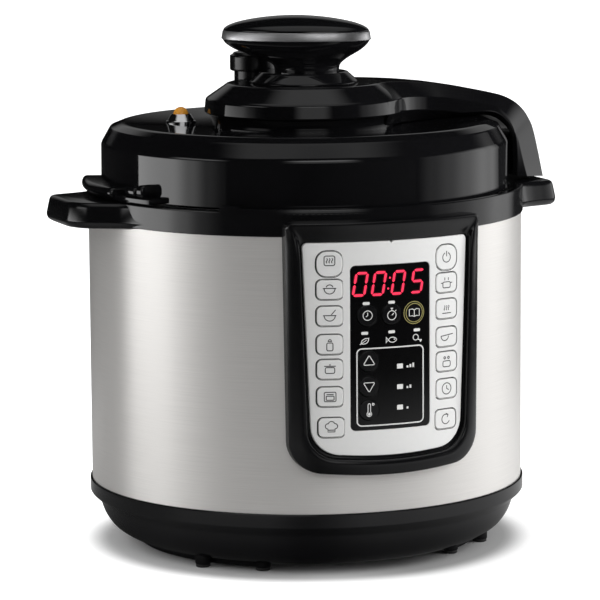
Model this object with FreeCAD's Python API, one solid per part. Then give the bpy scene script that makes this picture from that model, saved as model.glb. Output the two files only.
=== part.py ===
import FreeCAD
import Part
import math
import os
from FreeCAD import Vector

# Electric pressure cooker, millimetres, +Z up, front panel facing -Y.
# The origin is on the table, on the axis of the round body.

# Clearances
FIT = 0.1  # nested pieces that stay put
RUN = 0.4  # pieces that move past each other
SLIDE = 0.05  # radial clearance of a guided pin

# Steel shell
SHELL_R = 140.0
SHELL_T = 0.8
SHELL_H = 172.2
BASE_H = 42.5  # table to the shell's lower edge

# Base bowl, ribs and feet
BAND_PROUD = 1.3
BAND_H = 9.0
BOWL_STEP_H = 5.5
BOWL_STEP_IN = 6.3
BOWL_WALL = 3.0
BOWL_FLOOR_Z = 4.8
BOWL_FLOOR_IN = 28.0  # shell radius to the rim of the flat floor
BOWL_ROUND_IN = 12.5
BOWL_ROUND_Z = 13.0
SPIGOT_H = 8.0
SPIGOT_T = 2.4
FOOT_H = 2.0
FOOT_R = 4.6
RIB_W = 4.0
RIB_FROM = 36.0  # azimuths of the two side ribs, from the front
RIB_TO = 144.0
RIB_IN = 31.0  # shell radius to the middle of the ribs
OUTER_FOOT_IN = 25.0
OUTER_FOOT_AZ = 56.0
POST_R = 5.0
POST_IN = 38.0
POST_AZ = (45.0, 135.0, 225.0, 315.0)
BASE_SCREW_R = 1.6
BASE_SCREW_L = 14.0
BASE_SCREW_HEAD_R = 3.6
BASE_SCREW_HEAD_H = 2.2

# Collar, rim and carrying ears
COLLAR_PROUD = 1.0
COLLAR_H = 14.8
COLLAR_WALL = 7.5
SHELF_DROP = 8.7  # shell's upper edge down to the shelf
SHELF_T = 3.0
RIM_H = 2.0
RIM_W = 4.5
RIM_FROM = -43.0  # azimuths of the raised front rim, repeated half a turn on
RIM_TO = 65.0
BUMP_H = 1.4
BUMP_ARC = 4.5
EAR_REACH = 167.0
EAR_TIP_HALF = 33.0
EAR_ROOT_HALF = 42.0
EAR_CORNER = 22.0
EAR_ROUND = 2.5
EAR_DROP = 1.7

# Liner, locking ring and pot
JACKET = 23.2  # radial room between the shell and the liner
LINER_T = 0.8
LINER_FLANGE = 5.0
LINER_LEDGE = 16.0
POT_GAP = 4.0
POT_T = 1.5
POT_ROUND = 12.0
POT_LIP = 9.0
POT_RIM_UP = 2.3  # shell's upper edge up to the pot's rim
RING_T = 2.0
LUG_T = 3.0
LUG_IN = 5.2
LUG_COUNT = 8
RING_LUG_ARC = 18.0
LID_LUG_ARC = 17.0

# Heater and temperature sensor
LEDGE_UP = 14.5  # shell's lower edge up to the liner's ledge
HEATER_T = 8.2
HEATER_LAP = 5.0  # heater resting on the liner's ledge
ELEMENT_R = 75.0
ELEMENT_WIRE_R = 4.0
ELEMENT_ARC = 330.0
ELEMENT_TAIL = 14.0
SENSOR_R = 13.0
SENSOR_H = 7.0
SENSOR_TRAVEL = 2.5
SENSOR_LOW = 0.4  # pot's bottom down to the sensor's top
SPRING_R = 9.5
SPRING_T = 1.5
SPRING_L = 12.0
BRACKET_R = 26.0
BRACKET_T = 2.4
BRACKET_POST_R = 3.0

# Power board and mains inlet
BOARD_T = 1.6
POWER_BOARD_W = 100.0
POWER_BOARD_D = 70.0
POWER_BOARD_Y = 14.0
POWER_BOARD_Z = 20.0
INLET_W = 31.0
INLET_H = 24.0
INLET_UP = 9.7  # shell's lower edge up to the inlet's body
INLET_DEPTH = 20.0
INLET_PROUD = 3.0
INLET_LIP = 3.5
SOCKET_W = 24.6
SOCKET_H = 16.4
SOCKET_DEPTH = 15.0
PIN_W = 2.0
PIN_H = 4.0
PIN_L = 12.0
PIN_PITCH = 7.0
PIN_DROP = 1.0  # outer pins below the socket's middle
PIN_RISE = 3.0  # earth pin above it

# Condensation collector at the back
CUP_W = 49.0
CUP_H = 45.0
CUP_DEPTH = 27.0
CUP_WALL = 1.8
CUP_ROUND = 5.0
CUP_PROUD = 11.0
CUP_TOP_DROP = 20.0  # shell's upper edge down to the cup's rim
CUP_HEADROOM = 5.0
POCKET_WALL = 2.0
POCKET_LIP = 3.5
POCKET_LIP_T = 1.5

# Control panel
PANEL_UP = 9.3  # shell's upper edge up to the bezel's top edge
BEZEL_PROUD = 8.5
BEZEL_TOP_HALF = 64.2
BEZEL_LOW_HALF = 62.5
BEZEL_H = 153.0
BEZEL_SAG = 5.0
BEZEL_CORNER = 20.0
BEZEL_TOP_CORNER = 4.0
BEZEL_ROUND = 3.0
FACE_PROUD = 5.0  # shell to the face of the silver plate
FACE_T = 1.6
FACE_TOP_HALF = 54.4
FACE_LOW_HALF = 49.4
FACE_DROP = 12.5
FACE_H = 130.0
FACE_SAG = 3.8
FACE_CORNER = 18.0
FACE_TOP_CORNER = 3.0
LEDGE_W = 2.2
SHELL_OPENING_IN = 5.0  # bezel's edge to the opening in the shell
WINDOW_HALF = 26.2
WINDOW_DROP = 27.0
WINDOW_H = 102.0
WINDOW_CORNER = 3.0
KEY_PROUD = 0.4
KEY_FLANGE = 0.9
KEY_FLANGE_T = 1.2
KEY_STEM_R = 2.2
KEY_TRAVEL = 0.5
KEY_X = 38.7  # middle of the key columns
LAST_KEY_X = 38.0
KEY_W = 15.8
KEY_H = 11.6
KEY_CORNER = 3.0
TOP_KEY_H = 15.2
TOP_KEY_CORNER = 6.0
KEY_ROWS = (25.4, 41.1, 57.4, 74.9, 90.3, 107.3, 126.4)  # below the bezel's top edge
LEFT_KEYS = ("cancel", "left_1", "left_2", "left_3", "left_4", "left_5", "left_6")
RIGHT_KEYS = ("power", "right_1", "right_2", "right_3", "right_4", "right_5", "right_6")
ROUND_KEY_R = 6.2
ROUND_KEYS = {
    "delay": (-15.6, 57.8),
    "timer": (0.0, 57.8),
    "menu": (15.2, 57.8),
    "up": (-14.8, 86.0),
    "down": (-14.8, 101.8),
    "temperature": (-14.8, 116.4),
}
LIGHT_SLITS = ((-16.4, 50.2), (0.0, 50.2), (-17.4, 68.7), (0.0, 68.7), (17.2, 68.7))
LEVEL_LIGHTS = ((5.5, 90.3), (5.5, 103.1), (5.5, 115.9))
SLIT_W = 4.6
SLIT_H = 1.6
LEVEL_W = 4.0
LEVEL_H = 3.0
BOARD_IN = 12.4  # shell radius to the front of the control board
CONTROL_HALF = 53.0
CONTROL_DROP = 18.6
CONTROL_H = 117.0
SWITCH_W = 6.0
SWITCH_H = 3.0
SWITCH_GAP = 1.4
DIGITS_HALF = 24.0
DIGITS_DROP = 27.5
DIGITS_H = 21.0
PANEL_SCREW_R = 1.2
PANEL_SCREW_L = 5.0
PANEL_SCREW_HEAD_R = 2.6
PANEL_SCREW_HEAD_H = 1.8
PANEL_POST_X = 50.5
PANEL_POST_W = 6.0

# Lid cover with its side tab
LID_IN = 9.5  # collar radius to the lid's side
LID_LIFT = 0.6  # gap under the lid's edge
LID_SIDE_H = 30.4
LID_CHAMFER_IN = 6.1
LID_CHAMFER_H = 9.6
LID_RIDGE_IN = 6.4  # chamfer to the highest ring of the top
LID_RIDGE_H = 3.0
LID_DISH = 2.6  # highest ring down to the middle of the top
LID_WALL = 3.0
LID_FLANGE_T = 3.4
LID_SPIGOT_T = 6.4
LID_POST_R = 5.0
LID_POST_RAD = 70.0
TAB_FROM = -112.0
TAB_TO = -66.0
TAB_PLATE_H = 3.5
TAB_PLATE_REACH = 9.5
LIP_TO = -79.0
LIP_REACH = 12.5
LIP_H = 4.5
LIP_ROUND = 3.0
CATCH_AZ = (-75.0, -71.0)
CATCH_REACH = 7.5
CATCH_H = 6.0
FIN_AZ = (-69.5, -67.2)
FIN_H = 8.0

# Inner lid plate, gasket and its screws
PLATE_T = 2.0
PLATE_GAP = 6.4  # pot's rim up to the lid plate
SKIRT_T = 2.2
GASKET_WALL_T = 1.4
LID_LUG_DROP = 0.9
LID_LUG_GAP = 0.8
LID_SCREW_R = 1.6
LID_SCREW_L = 12.0
LID_SCREW_HEAD_R = 3.4
LID_SCREW_HEAD_H = 2.0

# Bridge: boss and arm
BOSS_R = 64.5
BOSS_FOOT_R = 59.5
BOSS_BAND_UP = 8.5  # lid's middle up to the boss's band
BOSS_BAND_H = 8.6
BOSS_TOP_R = 49.5
BOSS_CHAMFER_H = 9.8
BOSS_WALL = 6.0
BOSS_CORE_R = 12.0
ARM_HALF = 25.0
ARM_CHAMFER = 8.0
ARM_FLAT_X = 42.0
ARM_SHOULDER_X = 134.0
ARM_SHOULDER_DROP = 12.6
ARM_KNEE_X = 156.6
ARM_KNEE_DROP = 36.0
LEG_TOE_X = 164.0
LEG_T = 26.0
LEG_STEP = 1.0  # collar to the lower part of the leg
LEG_GAP = 1.6  # raised rim up to the leg's lower end
ARM_T = 24.0

# Knob
CONE_R = 35.0
CONE_TOP_R = 28.0
CONE_H = 7.2
NECK_R = 20.6
NECK_H = 8.0
FLARE_H = 12.5
FLARE_STEPS = ((0.0, 27.2, 22.8, 0.0), (0.43, 40.6, 25.8, -4.0))  # height share, half axes, shift
KNOB_A = 48.7
KNOB_B = 27.5
KNOB_AZ = 55.0  # azimuth of the head's long axis
KNOB_OFFSET = -5.2
NECK_OFFSET = 1.9
TRIM_H = 5.6
TRIM_T = 2.2
TRIM_PROUD = 0.4
CAP_INSET = 0.7
CAP_EDGE_H = 3.2
CAP_H = 10.0

# Float valve
FLOAT_X = -72.8
FLOAT_Y = 33.0
GUARD_R = 9.7
GUARD_FLANGE_T = 1.6
GUARD_LOW_R = 8.9
GUARD_TOP_R = 6.4
GUARD_H = 4.2
TIP_R = 5.0
TIP_H = 7.6
FLOAT_PIN_R = 2.0
FLOAT_FOOT_R = 5.0
FLOAT_FOOT_T = 1.6
FLOAT_SEAL_T = 1.5
FLOAT_TRAVEL = 4.0

# Pressure-limit valve, steam pipe and filter
VALVE_X = -16.2
VALVE_Y = 49.3
VALVE_R = 15.6
VALVE_BODY_R = 12.8
VALVE_BODY_H = 14.7
VALVE_CAP_H = 10.6
VALVE_TOP_R = 14.0
VALVE_DOME_H = 2.8
VALVE_SEAT_DEPTH = 8.0
POCKET_R = 17.0
POCKET_UP = 16.5  # lid's middle up to the valve pocket's floor
PIPE_R = 4.0
PIPE_BORE = 2.5
PIPE_FLANGE_R = 8.0
PIPE_FLANGE_T = 2.0
FILTER_R = 14.0
FILTER_H = 11.0
FILTER_WALL = 1.2
FILTER_SLOTS = 8
FILTER_SLOT_W = 2.4

# Heights and radii that follow
SHELL_TOP = BASE_H + SHELL_H
SHELL_IN = SHELL_R - SHELL_T
SPIGOT_R = SHELL_IN - FIT
COLLAR_R = SHELL_R + COLLAR_PROUD
COLLAR_IN = COLLAR_R - COLLAR_WALL
COLLAR_TOP = SHELL_TOP + COLLAR_H
RIM_TOP = COLLAR_TOP + RIM_H
SHELF_TOP = SHELL_TOP - SHELF_DROP
SHELF_BOTTOM = SHELF_TOP - SHELF_T
LINER_R = SHELL_R - JACKET
LINER_IN = LINER_R - LINER_T
LEDGE_Z = BASE_H + LEDGE_UP
HEATER_Z = LEDGE_Z + LINER_T
HEATER_TOP = HEATER_Z + HEATER_T
HEATER_R = LINER_IN - LINER_LEDGE + HEATER_LAP
POT_R = LINER_IN - POT_GAP
POT_RIM_R = POT_R + POT_LIP
POT_TOP = SHELL_TOP + POT_RIM_UP
RING_R = COLLAR_IN - FIT
RING_IN = RING_R - RING_T
RING_TOP = COLLAR_TOP - FIT
RING_LUG_Z = RING_TOP - LUG_T
LID_R = COLLAR_R - LID_IN
LID_Z = COLLAR_TOP + LID_LIFT
LID_EDGE_Z = LID_Z + LID_SIDE_H
LID_SHOULDER_Z = LID_EDGE_Z + LID_CHAMFER_H
LID_SHOULDER_R = LID_R - LID_CHAMFER_IN
LID_RIDGE_R = LID_SHOULDER_R - LID_RIDGE_IN
LID_RIDGE_Z = LID_SHOULDER_Z + LID_RIDGE_H
LID_TOP_Z = LID_RIDGE_Z - LID_DISH
PLATE_Z = POT_TOP + PLATE_GAP
PLATE_TOP = PLATE_Z + PLATE_T
PLATE_R = RING_IN - LUG_IN - 4 * RUN
SKIRT_IN = PLATE_R - SKIRT_T
GASKET_WALL_R = POT_R - LID_LUG_GAP
BOSS_BAND_Z = LID_TOP_Z + BOSS_BAND_UP
BOSS_SHOULDER_Z = BOSS_BAND_Z + BOSS_BAND_H
BOSS_TOP_Z = BOSS_SHOULDER_Z + BOSS_CHAMFER_H
CONE_TOP_Z = BOSS_TOP_Z + CONE_H
FLARE_Z = CONE_TOP_Z + NECK_H
TRIM_Z = FLARE_Z + FLARE_H
CAP_Z = TRIM_Z + TRIM_H
PANEL_TOP = SHELL_TOP + PANEL_UP
BEZEL_R = SHELL_R + BEZEL_PROUD
FACE_R = SHELL_R + FACE_PROUD
FACE_IN = FACE_R - FACE_T
BOARD_Y = -(SHELL_R - BOARD_IN)
SWITCH_TOP_Y = BOARD_Y - SWITCH_H
POCKET_FLOOR_Z = LID_TOP_Z + POCKET_UP
PIPE_TOP_Z = POCKET_FLOOR_Z + RUN + VALVE_SEAT_DEPTH
AXIS = Vector(0, 0, 1)
FAR = 4 * SHELL_R


def polar(azimuth, radius, z):
    """Point at an azimuth counted from the front towards +X."""
    a = math.radians(azimuth)
    return Vector(radius * math.sin(a), -radius * math.cos(a), z)


def disc(radius, z0, z1, x=0.0, y=0.0):
    return Part.makeCylinder(radius, z1 - z0, Vector(x, y, z0))


def ring(r_in, r_out, z0, z1):
    return disc(r_out, z0, z1).cut(disc(r_in, z0, z1))


def wedge(r_in, r_out, z0, z1, az0, az1):
    """Part of a ring between two azimuths."""
    outer = Part.makeCylinder(r_out, z1 - z0, Vector(0, 0, z0), AXIS, az1 - az0)
    piece = outer.cut(disc(r_in, z0, z1))
    piece.rotate(Vector(0, 0, 0), AXIS, az0 - 90)
    return piece


def box(x0, x1, y0, y1, z0, z1):
    return Part.makeBox(x1 - x0, y1 - y0, z1 - z0, Vector(x0, y0, z0))


def wire_of(points):
    """Closed wire; a pair of points in one row is an arc through the first to the second."""
    edges = []
    last = points[0]
    for step in points[1:] + points[:1]:
        if isinstance(step, tuple):
            edges.append(Part.Arc(last, step[0], step[1]).toShape())
            last = step[1]
        else:
            edges.append(Part.LineSegment(last, step).toShape())
            last = step
    return Part.Wire(edges)


def turned(rows):
    """Solid of revolution about Z; a row is (r, z), or (r, z, r, z) for an arc."""
    points = []
    for row in rows:
        spots = [Vector(row[i], 0, row[i + 1]) for i in range(0, len(row), 2)]
        points.append(spots[0] if len(spots) == 1 else tuple(spots))
    return Part.Face(wire_of(points)).revolve(Vector(0, 0, 0), AXIS, 360)


def crown(r, z, h):
    """Arc row rising from (r, z) to the axis, about a centre on the axis."""
    radius = (r ** 2 + h ** 2) / (2 * h)
    half = math.asin(r / radius) / 2
    return (radius * math.sin(half), z + h - radius + radius * math.cos(half), 0, z + h)


def fused(first, rest):
    return first.multiFuse(rest).removeSplitter()


def long_edges_along(shape, axis, keep):
    """Straight edges along an axis whose middle passes a test."""
    found = []
    for edge in shape.Edges:
        if edge.Curve.TypeId != "Part::GeomLine":
            continue
        run = edge.Vertexes[-1].Point - edge.Vertexes[0].Point
        if abs(abs(run.normalize().dot(axis)) - 1) < 1e-6 and keep(edge.CenterOfMass):
            found.append(edge)
    return found


def rounded_plate(half_w, half_h, corner, depth_out):
    """Rounded rectangle about the front's middle, drawn out along -Y."""
    block = box(-half_w, half_w, -depth_out, 0, -half_h, half_h)
    return block.makeFillet(corner, long_edges_along(block, Vector(0, 1, 0), lambda c: True))


def shield_prism(top_half, low_half, z_top, height, sag, corner, top_corner):
    """Panel outline with a bowed lower edge and rounded corners, drawn out along -Y."""
    z_low = z_top - height
    outline = [
        Vector(-top_half, 0, z_top),
        Vector(top_half, 0, z_top),
        Vector(low_half, 0, z_low),
        (Vector(0, 0, z_low - sag), Vector(-low_half, 0, z_low)),
    ]
    block = Part.Face(wire_of(outline)).extrude(Vector(0, -FAR, 0))
    z_mid = z_top - height / 2
    low = long_edges_along(block, Vector(0, 1, 0), lambda c: c.z < z_mid)
    block = block.makeFillet(corner, low)
    high = long_edges_along(block, Vector(0, 1, 0), lambda c: c.z > z_mid and abs(c.x) > top_half - 0.01)
    return block.makeFillet(top_corner, high)


def bezel_prism(inset):
    return shield_prism(
        BEZEL_TOP_HALF - inset, BEZEL_LOW_HALF - inset, PANEL_TOP - inset, BEZEL_H - 2 * inset,
        BEZEL_SAG, BEZEL_CORNER - inset, BEZEL_TOP_CORNER,
    )


def face_prism(grow):
    return shield_prism(
        FACE_TOP_HALF + grow, FACE_LOW_HALF + grow, PANEL_TOP - FACE_DROP + grow, FACE_H + 2 * grow,
        FACE_SAG, FACE_CORNER + grow, FACE_TOP_CORNER + max(grow, -FACE_TOP_CORNER / 2),
    )


def front_shell(r_in, r_out):
    """Curved slab round the front, tall enough for the panel."""
    return wedge(r_in, r_out, 0, PANEL_TOP + SHELL_H, -60, 60)


# Base

def base_bowl():
    band_r = SHELL_R + BAND_PROUD
    band_z = BASE_H - BAND_H
    step_r = band_r - BOWL_STEP_IN
    step_z = band_z - BOWL_STEP_H
    round_r = SHELL_R - BOWL_ROUND_IN
    floor_r = SHELL_R - BOWL_FLOOR_IN
    spigot_in = SPIGOT_R - SPIGOT_T
    slope = BOWL_WALL * 0.75
    bowl = turned([
        (0, BOWL_FLOOR_Z),
        (floor_r, BOWL_FLOOR_Z),
        (round_r, BOWL_ROUND_Z, step_r, step_z),
        (band_r, band_z),
        (band_r, BASE_H),
        (SPIGOT_R, BASE_H),
        (SPIGOT_R, BASE_H + SPIGOT_H),
        (spigot_in, BASE_H + SPIGOT_H),
        (spigot_in, band_z + BOWL_WALL),
        (step_r - BOWL_WALL, step_z + BOWL_WALL / 2),
        (round_r - slope, BOWL_ROUND_Z + slope, floor_r - BOWL_WALL / 2, BOWL_FLOOR_Z + BOWL_WALL),
        (0, BOWL_FLOOR_Z + BOWL_WALL),
    ])
    rib_r = SHELL_R - RIB_IN
    inside_z = BOWL_FLOOR_Z + BOWL_WALL / 2
    extras = []
    rib_arc = RIB_TO - RIB_FROM
    for az in (RIB_FROM, RIB_FROM + 180):
        extras.append(wedge(rib_r - RIB_W / 2, rib_r + RIB_W / 2, FOOT_H, inside_z, az, az + rib_arc))
    for spot in outer_foot_spots():
        extras.append(disc(FOOT_R + RUN, FOOT_H, BOWL_FLOOR_Z + BOWL_WALL, spot.x, spot.y))
    for spot in end_foot_spots():
        extras.append(disc(FOOT_R + RUN, FOOT_H, inside_z, spot.x, spot.y))
    for spot in post_spots():
        extras.append(disc(POST_R, inside_z, LEDGE_Z, spot.x, spot.y))
    for x in (-1, 1):
        for y in (POWER_BOARD_Y, POWER_BOARD_Y + POWER_BOARD_D):
            post_x = x * (POWER_BOARD_W / 2 - POST_R)
            post_y = y + (POST_R if y == POWER_BOARD_Y else -POST_R)
            extras.append(disc(POST_R - 1, inside_z, POWER_BOARD_Z, post_x, post_y))
    bowl = fused(bowl, extras)
    for spot in post_spots():
        bowl = bowl.cut(disc(BASE_SCREW_R + FIT, 0, BOWL_FLOOR_Z + BASE_SCREW_L + FIT, spot.x, spot.y))
    return bowl


def outer_foot_spots():
    angles = (OUTER_FOOT_AZ, 180 - OUTER_FOOT_AZ, 180 + OUTER_FOOT_AZ, -OUTER_FOOT_AZ)
    return [polar(az, SHELL_R - OUTER_FOOT_IN, 0) for az in angles]


def end_foot_spots():
    angles = (RIB_FROM, RIB_TO, RIB_FROM + 180, RIB_TO + 180)
    return [polar(az, SHELL_R - RIB_IN, 0) for az in angles]


def post_spots():
    return [polar(az, SHELL_R - POST_IN, 0) for az in POST_AZ]


def rubber_feet():
    pads = []
    for spot in outer_foot_spots() + end_foot_spots():
        pad = disc(FOOT_R, 0, FOOT_H, spot.x, spot.y)
        lower = [e for e in pad.Edges if e.BoundBox.ZMax < FOOT_H / 2]
        pads.append(pad.makeChamfer(FOOT_H / 4, lower))
    return Part.makeCompound(pads)


def base_screws():
    screws = []
    for spot in post_spots():
        head_z = BOWL_FLOOR_Z - BASE_SCREW_HEAD_H
        head = disc(BASE_SCREW_HEAD_R, head_z, BOWL_FLOOR_Z, spot.x, spot.y)
        shank = disc(BASE_SCREW_R, head_z, BOWL_FLOOR_Z + BASE_SCREW_L, spot.x, spot.y)
        screws.append(fused(head, [shank]))
    return Part.makeCompound(screws)


# Shell and collar

def inlet_z():
    return BASE_H + INLET_UP


def cup_top():
    return SHELL_TOP - CUP_TOP_DROP


def outer_shell():
    shell = ring(SHELL_IN, SHELL_R, BASE_H, SHELL_TOP)
    shell = shell.cut(bezel_prism(SHELL_OPENING_IN))
    half = INLET_W / 2 + RUN
    shell = shell.cut(box(-half, half, 0, FAR, inlet_z() - RUN, inlet_z() + INLET_H + RUN))
    half = CUP_W / 2 + RUN + POCKET_WALL + FIT
    low = cup_top() - CUP_H - POCKET_WALL - FIT
    high = cup_top() + CUP_HEADROOM + POCKET_WALL + FIT
    return shell.cut(box(-half, half, 0, FAR, low, high))


def ear_plan(z0, z1):
    """The two carrying ears as flat-topped blocks."""
    root_x = COLLAR_IN + COLLAR_WALL / 2
    ears = []
    for side in (-1, 1):
        outline = [
            Vector(side * root_x, -EAR_ROOT_HALF, z0),
            Vector(side * EAR_REACH, -EAR_TIP_HALF, z0),
            Vector(side * EAR_REACH, EAR_TIP_HALF, z0),
            Vector(side * root_x, EAR_ROOT_HALF, z0),
        ]
        ear = Part.Face(wire_of(outline)).extrude(Vector(0, 0, z1 - z0))
        tips = long_edges_along(ear, AXIS, lambda c: abs(c.x) > EAR_REACH - 1)
        ears.append(ear.makeFillet(EAR_CORNER, tips))
    return ears


def collar():
    body = turned([
        (COLLAR_R, SHELL_TOP),
        (COLLAR_R, COLLAR_TOP),
        (COLLAR_IN, COLLAR_TOP),
        (COLLAR_IN, SHELF_TOP),
        (LINER_R + FIT, SHELF_TOP),
        (LINER_R + FIT, SHELF_BOTTOM),
        (SPIGOT_R, SHELF_BOTTOM),
        (SPIGOT_R, SHELL_TOP),
    ])
    ear_z = SHELL_TOP - EAR_DROP
    ears = []
    for ear in ear_plan(ear_z, COLLAR_TOP):
        top_edges = [e for e in ear.Edges if e.BoundBox.ZMin > COLLAR_TOP - 0.01]
        rounds = [e for e in top_edges if abs(e.CenterOfMass.x) > COLLAR_R]
        ear = ear.makeFillet(EAR_ROUND, rounds)
        ears.append(ear.cut(disc(SHELL_R + 3 * FIT, 0, SHELL_TOP)).cut(disc(COLLAR_IN, 0, FAR)))
    extras = list(ears)
    rim_in = COLLAR_R - RIM_W
    for turn in (0, 180):
        extras.append(wedge(rim_in, COLLAR_R, COLLAR_TOP, RIM_TOP, RIM_FROM + turn, RIM_TO + turn))
    extras.append(wedge(rim_in, COLLAR_R, COLLAR_TOP, RIM_TOP + BUMP_H, RIM_FROM, RIM_FROM + BUMP_ARC))
    body = fused(body, extras)
    notch_y = BOARD_Y + BOARD_T + PANEL_SCREW_HEAD_H + 2 * RUN
    return body.cut(box(-BEZEL_TOP_HALF, BEZEL_TOP_HALF, -FAR, notch_y, SHELF_BOTTOM, SHELL_TOP))


# Liner, locking ring and pot

def inner_liner():
    ledge_r = LINER_IN - LINER_LEDGE
    return turned([
        (LINER_R + LINER_FLANGE, SHELF_TOP),
        (LINER_R + LINER_FLANGE, SHELF_TOP + LINER_T),
        (LINER_IN, SHELF_TOP + LINER_T),
        (LINER_IN, LEDGE_Z + LINER_T),
        (ledge_r, LEDGE_Z + LINER_T),
        (ledge_r, LEDGE_Z),
        (LINER_R, LEDGE_Z),
        (LINER_R, SHELF_TOP),
    ])


def locking_ring():
    flange_in = LINER_R + LINER_FLANGE + RUN
    body = turned([
        (flange_in, SHELF_TOP),
        (RING_R, SHELF_TOP),
        (RING_R, RING_TOP),
        (RING_IN, RING_TOP),
        (RING_IN, SHELF_TOP + RING_T),
        (flange_in, SHELF_TOP + RING_T),
    ])
    pitch = 360.0 / LUG_COUNT
    lugs = []
    for i in range(LUG_COUNT):
        mid = (i + 0.5) * pitch
        lugs.append(wedge(
            RING_IN - LUG_IN, RING_IN + RING_T / 2, RING_LUG_Z, RING_TOP,
            mid - RING_LUG_ARC / 2, mid + RING_LUG_ARC / 2,
        ))
    return fused(body, lugs)


def inner_pot():
    outer = turned([
        (0, HEATER_TOP),
        (POT_R, HEATER_TOP),
        (POT_R, POT_TOP),
        (0, POT_TOP),
    ])
    foot = [e for e in outer.Edges if e.BoundBox.ZMax < HEATER_TOP + 1 and e.BoundBox.XLength > POT_R]
    outer = outer.makeFillet(POT_ROUND, foot)
    bore = turned([
        (0, HEATER_TOP + POT_T),
        (POT_R - POT_T, HEATER_TOP + POT_T),
        (POT_R - POT_T, POT_TOP + POT_T),
        (0, POT_TOP + POT_T),
    ])
    foot = [e for e in bore.Edges if e.BoundBox.ZMax < HEATER_TOP + POT_T + 1 and e.BoundBox.XLength > POT_R]
    bore = bore.makeFillet(POT_ROUND - POT_T, foot)
    lip = ring(POT_R - POT_T, POT_RIM_R, POT_TOP - POT_T, POT_TOP)
    return fused(outer, [lip]).cut(bore)


# Heater and sensor

def heating_plate():
    hole = SENSOR_R + RUN
    return ring(hole, HEATER_R, HEATER_Z, HEATER_TOP)


def heater_element():
    z = HEATER_Z - ELEMENT_WIRE_R - FIT
    loop = Part.makeTorus(ELEMENT_R, ELEMENT_WIRE_R, Vector(0, 0, z), AXIS, 0, 360, ELEMENT_ARC)
    loop.rotate(Vector(0, 0, 0), AXIS, 90 - ELEMENT_ARC / 2 + 180)
    tails = []
    for side in (-1, 1):
        spot = polar(180 + side * (180 - ELEMENT_ARC / 2), ELEMENT_R, 0)
        tails.append(disc(ELEMENT_WIRE_R - 1, z - ELEMENT_TAIL, z, spot.x, spot.y))
    return fused(loop, tails)


def temperature_sensor():
    top = HEATER_TOP - SENSOR_LOW
    cap = disc(SENSOR_R, top - SENSOR_H, top)
    guide = disc(SPRING_R - SPRING_T - RUN, top - SENSOR_H - SPRING_L / 2, top)
    return fused(cap, [guide])


def sensor_spring():
    top = HEATER_TOP - SENSOR_LOW - SENSOR_H
    return ring(SPRING_R - SPRING_T, SPRING_R, top - SPRING_L, top)


def sensor_bracket():
    top = HEATER_TOP - SENSOR_LOW - SENSOR_H - SPRING_L
    body = disc(BRACKET_R, top - BRACKET_T, top)
    posts = []
    for side in (-1, 1):
        x = side * (BRACKET_R - 2 * BRACKET_POST_R)
        posts.append(disc(BRACKET_POST_R, top - BRACKET_T, HEATER_Z, x, 0))
    return fused(body, posts)


# Power board and mains inlet

def power_board():
    half = POWER_BOARD_W / 2
    back = POWER_BOARD_Y + POWER_BOARD_D
    top = POWER_BOARD_Z + BOARD_T
    board = box(-half, half, POWER_BOARD_Y, back, POWER_BOARD_Z, top)
    relay = box(-half + 12, -half + 32, back - 30, back - 12, top, top + 15)
    transformer = box(6, 32, back - 34, back - 12, top, top + 16)
    capacitor = disc(7, top, top + 15, half - 12, POWER_BOARD_Y + 36)
    fuse = box(-10, 2, POWER_BOARD_Y + 14, POWER_BOARD_Y + 20, top, top + 6)
    return fused(board, [relay, transformer, capacitor, fuse])


def inlet_socket():
    z0 = inlet_z()
    z1 = z0 + INLET_H
    half = INLET_W / 2
    back = SHELL_R + INLET_PROUD
    body = box(-half, half, back - INLET_DEPTH, back, z0, z1)
    lip = box(-half - INLET_LIP, half + INLET_LIP, 0, back, z0 - INLET_LIP, z1 + INLET_LIP)
    lip = lip.cut(disc(SHELL_R + FIT, 0, FAR))
    mid = (z0 + z1) / 2
    half_w = SOCKET_W / 2
    half_h = SOCKET_H / 2
    recess = box(-half_w, half_w, back - SOCKET_DEPTH, FAR, mid - half_h, mid + half_h)
    slope = long_edges_along(recess, Vector(0, 1, 0), lambda c: c.z > mid)
    body = fused(body, [lip]).cut(recess.makeChamfer(SOCKET_H / 4, slope))
    for x, z in pin_spots():
        body = body.cut(pin_block(x, z, FIT))
    return body


def pin_spots():
    mid = inlet_z() + INLET_H / 2
    return ((-PIN_PITCH, mid - PIN_DROP), (0, mid + PIN_RISE), (PIN_PITCH, mid - PIN_DROP))


def pin_block(x, z, grow):
    tip = SHELL_R + INLET_PROUD - SOCKET_DEPTH + PIN_L
    root = SHELL_R + INLET_PROUD - INLET_DEPTH
    half_w = PIN_W / 2 + grow
    half_h = PIN_H / 2 + grow
    return box(x - half_w, x + half_w, root - PIN_L / 4, tip, z - half_h, z + half_h)


def inlet_pins():
    return Part.makeCompound([pin_block(x, z, 0) for x, z in pin_spots()])


# Condensation collector

def cup_block(grow, depth_grow, top_grow):
    half = CUP_W / 2 + grow
    back = SHELL_R + CUP_PROUD
    return box(-half, half, back - CUP_DEPTH - depth_grow, back, cup_top() - CUP_H, cup_top() + top_grow)


def condensation_collector():
    body = cup_block(0, 0, 0)
    body = body.makeFillet(CUP_ROUND, long_edges_along(body, AXIS, lambda c: c.y > SHELL_R))
    half = CUP_W / 2 - CUP_WALL
    back = SHELL_R + CUP_PROUD
    hollow = box(
        -half, half,
        back - CUP_DEPTH + CUP_WALL, back - CUP_WALL,
        cup_top() - CUP_H + CUP_WALL, cup_top() + 1,
    )
    hollow = hollow.makeFillet(CUP_ROUND - CUP_WALL, long_edges_along(hollow, AXIS, lambda c: c.y > SHELL_R))
    return body.cut(hollow)


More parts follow.
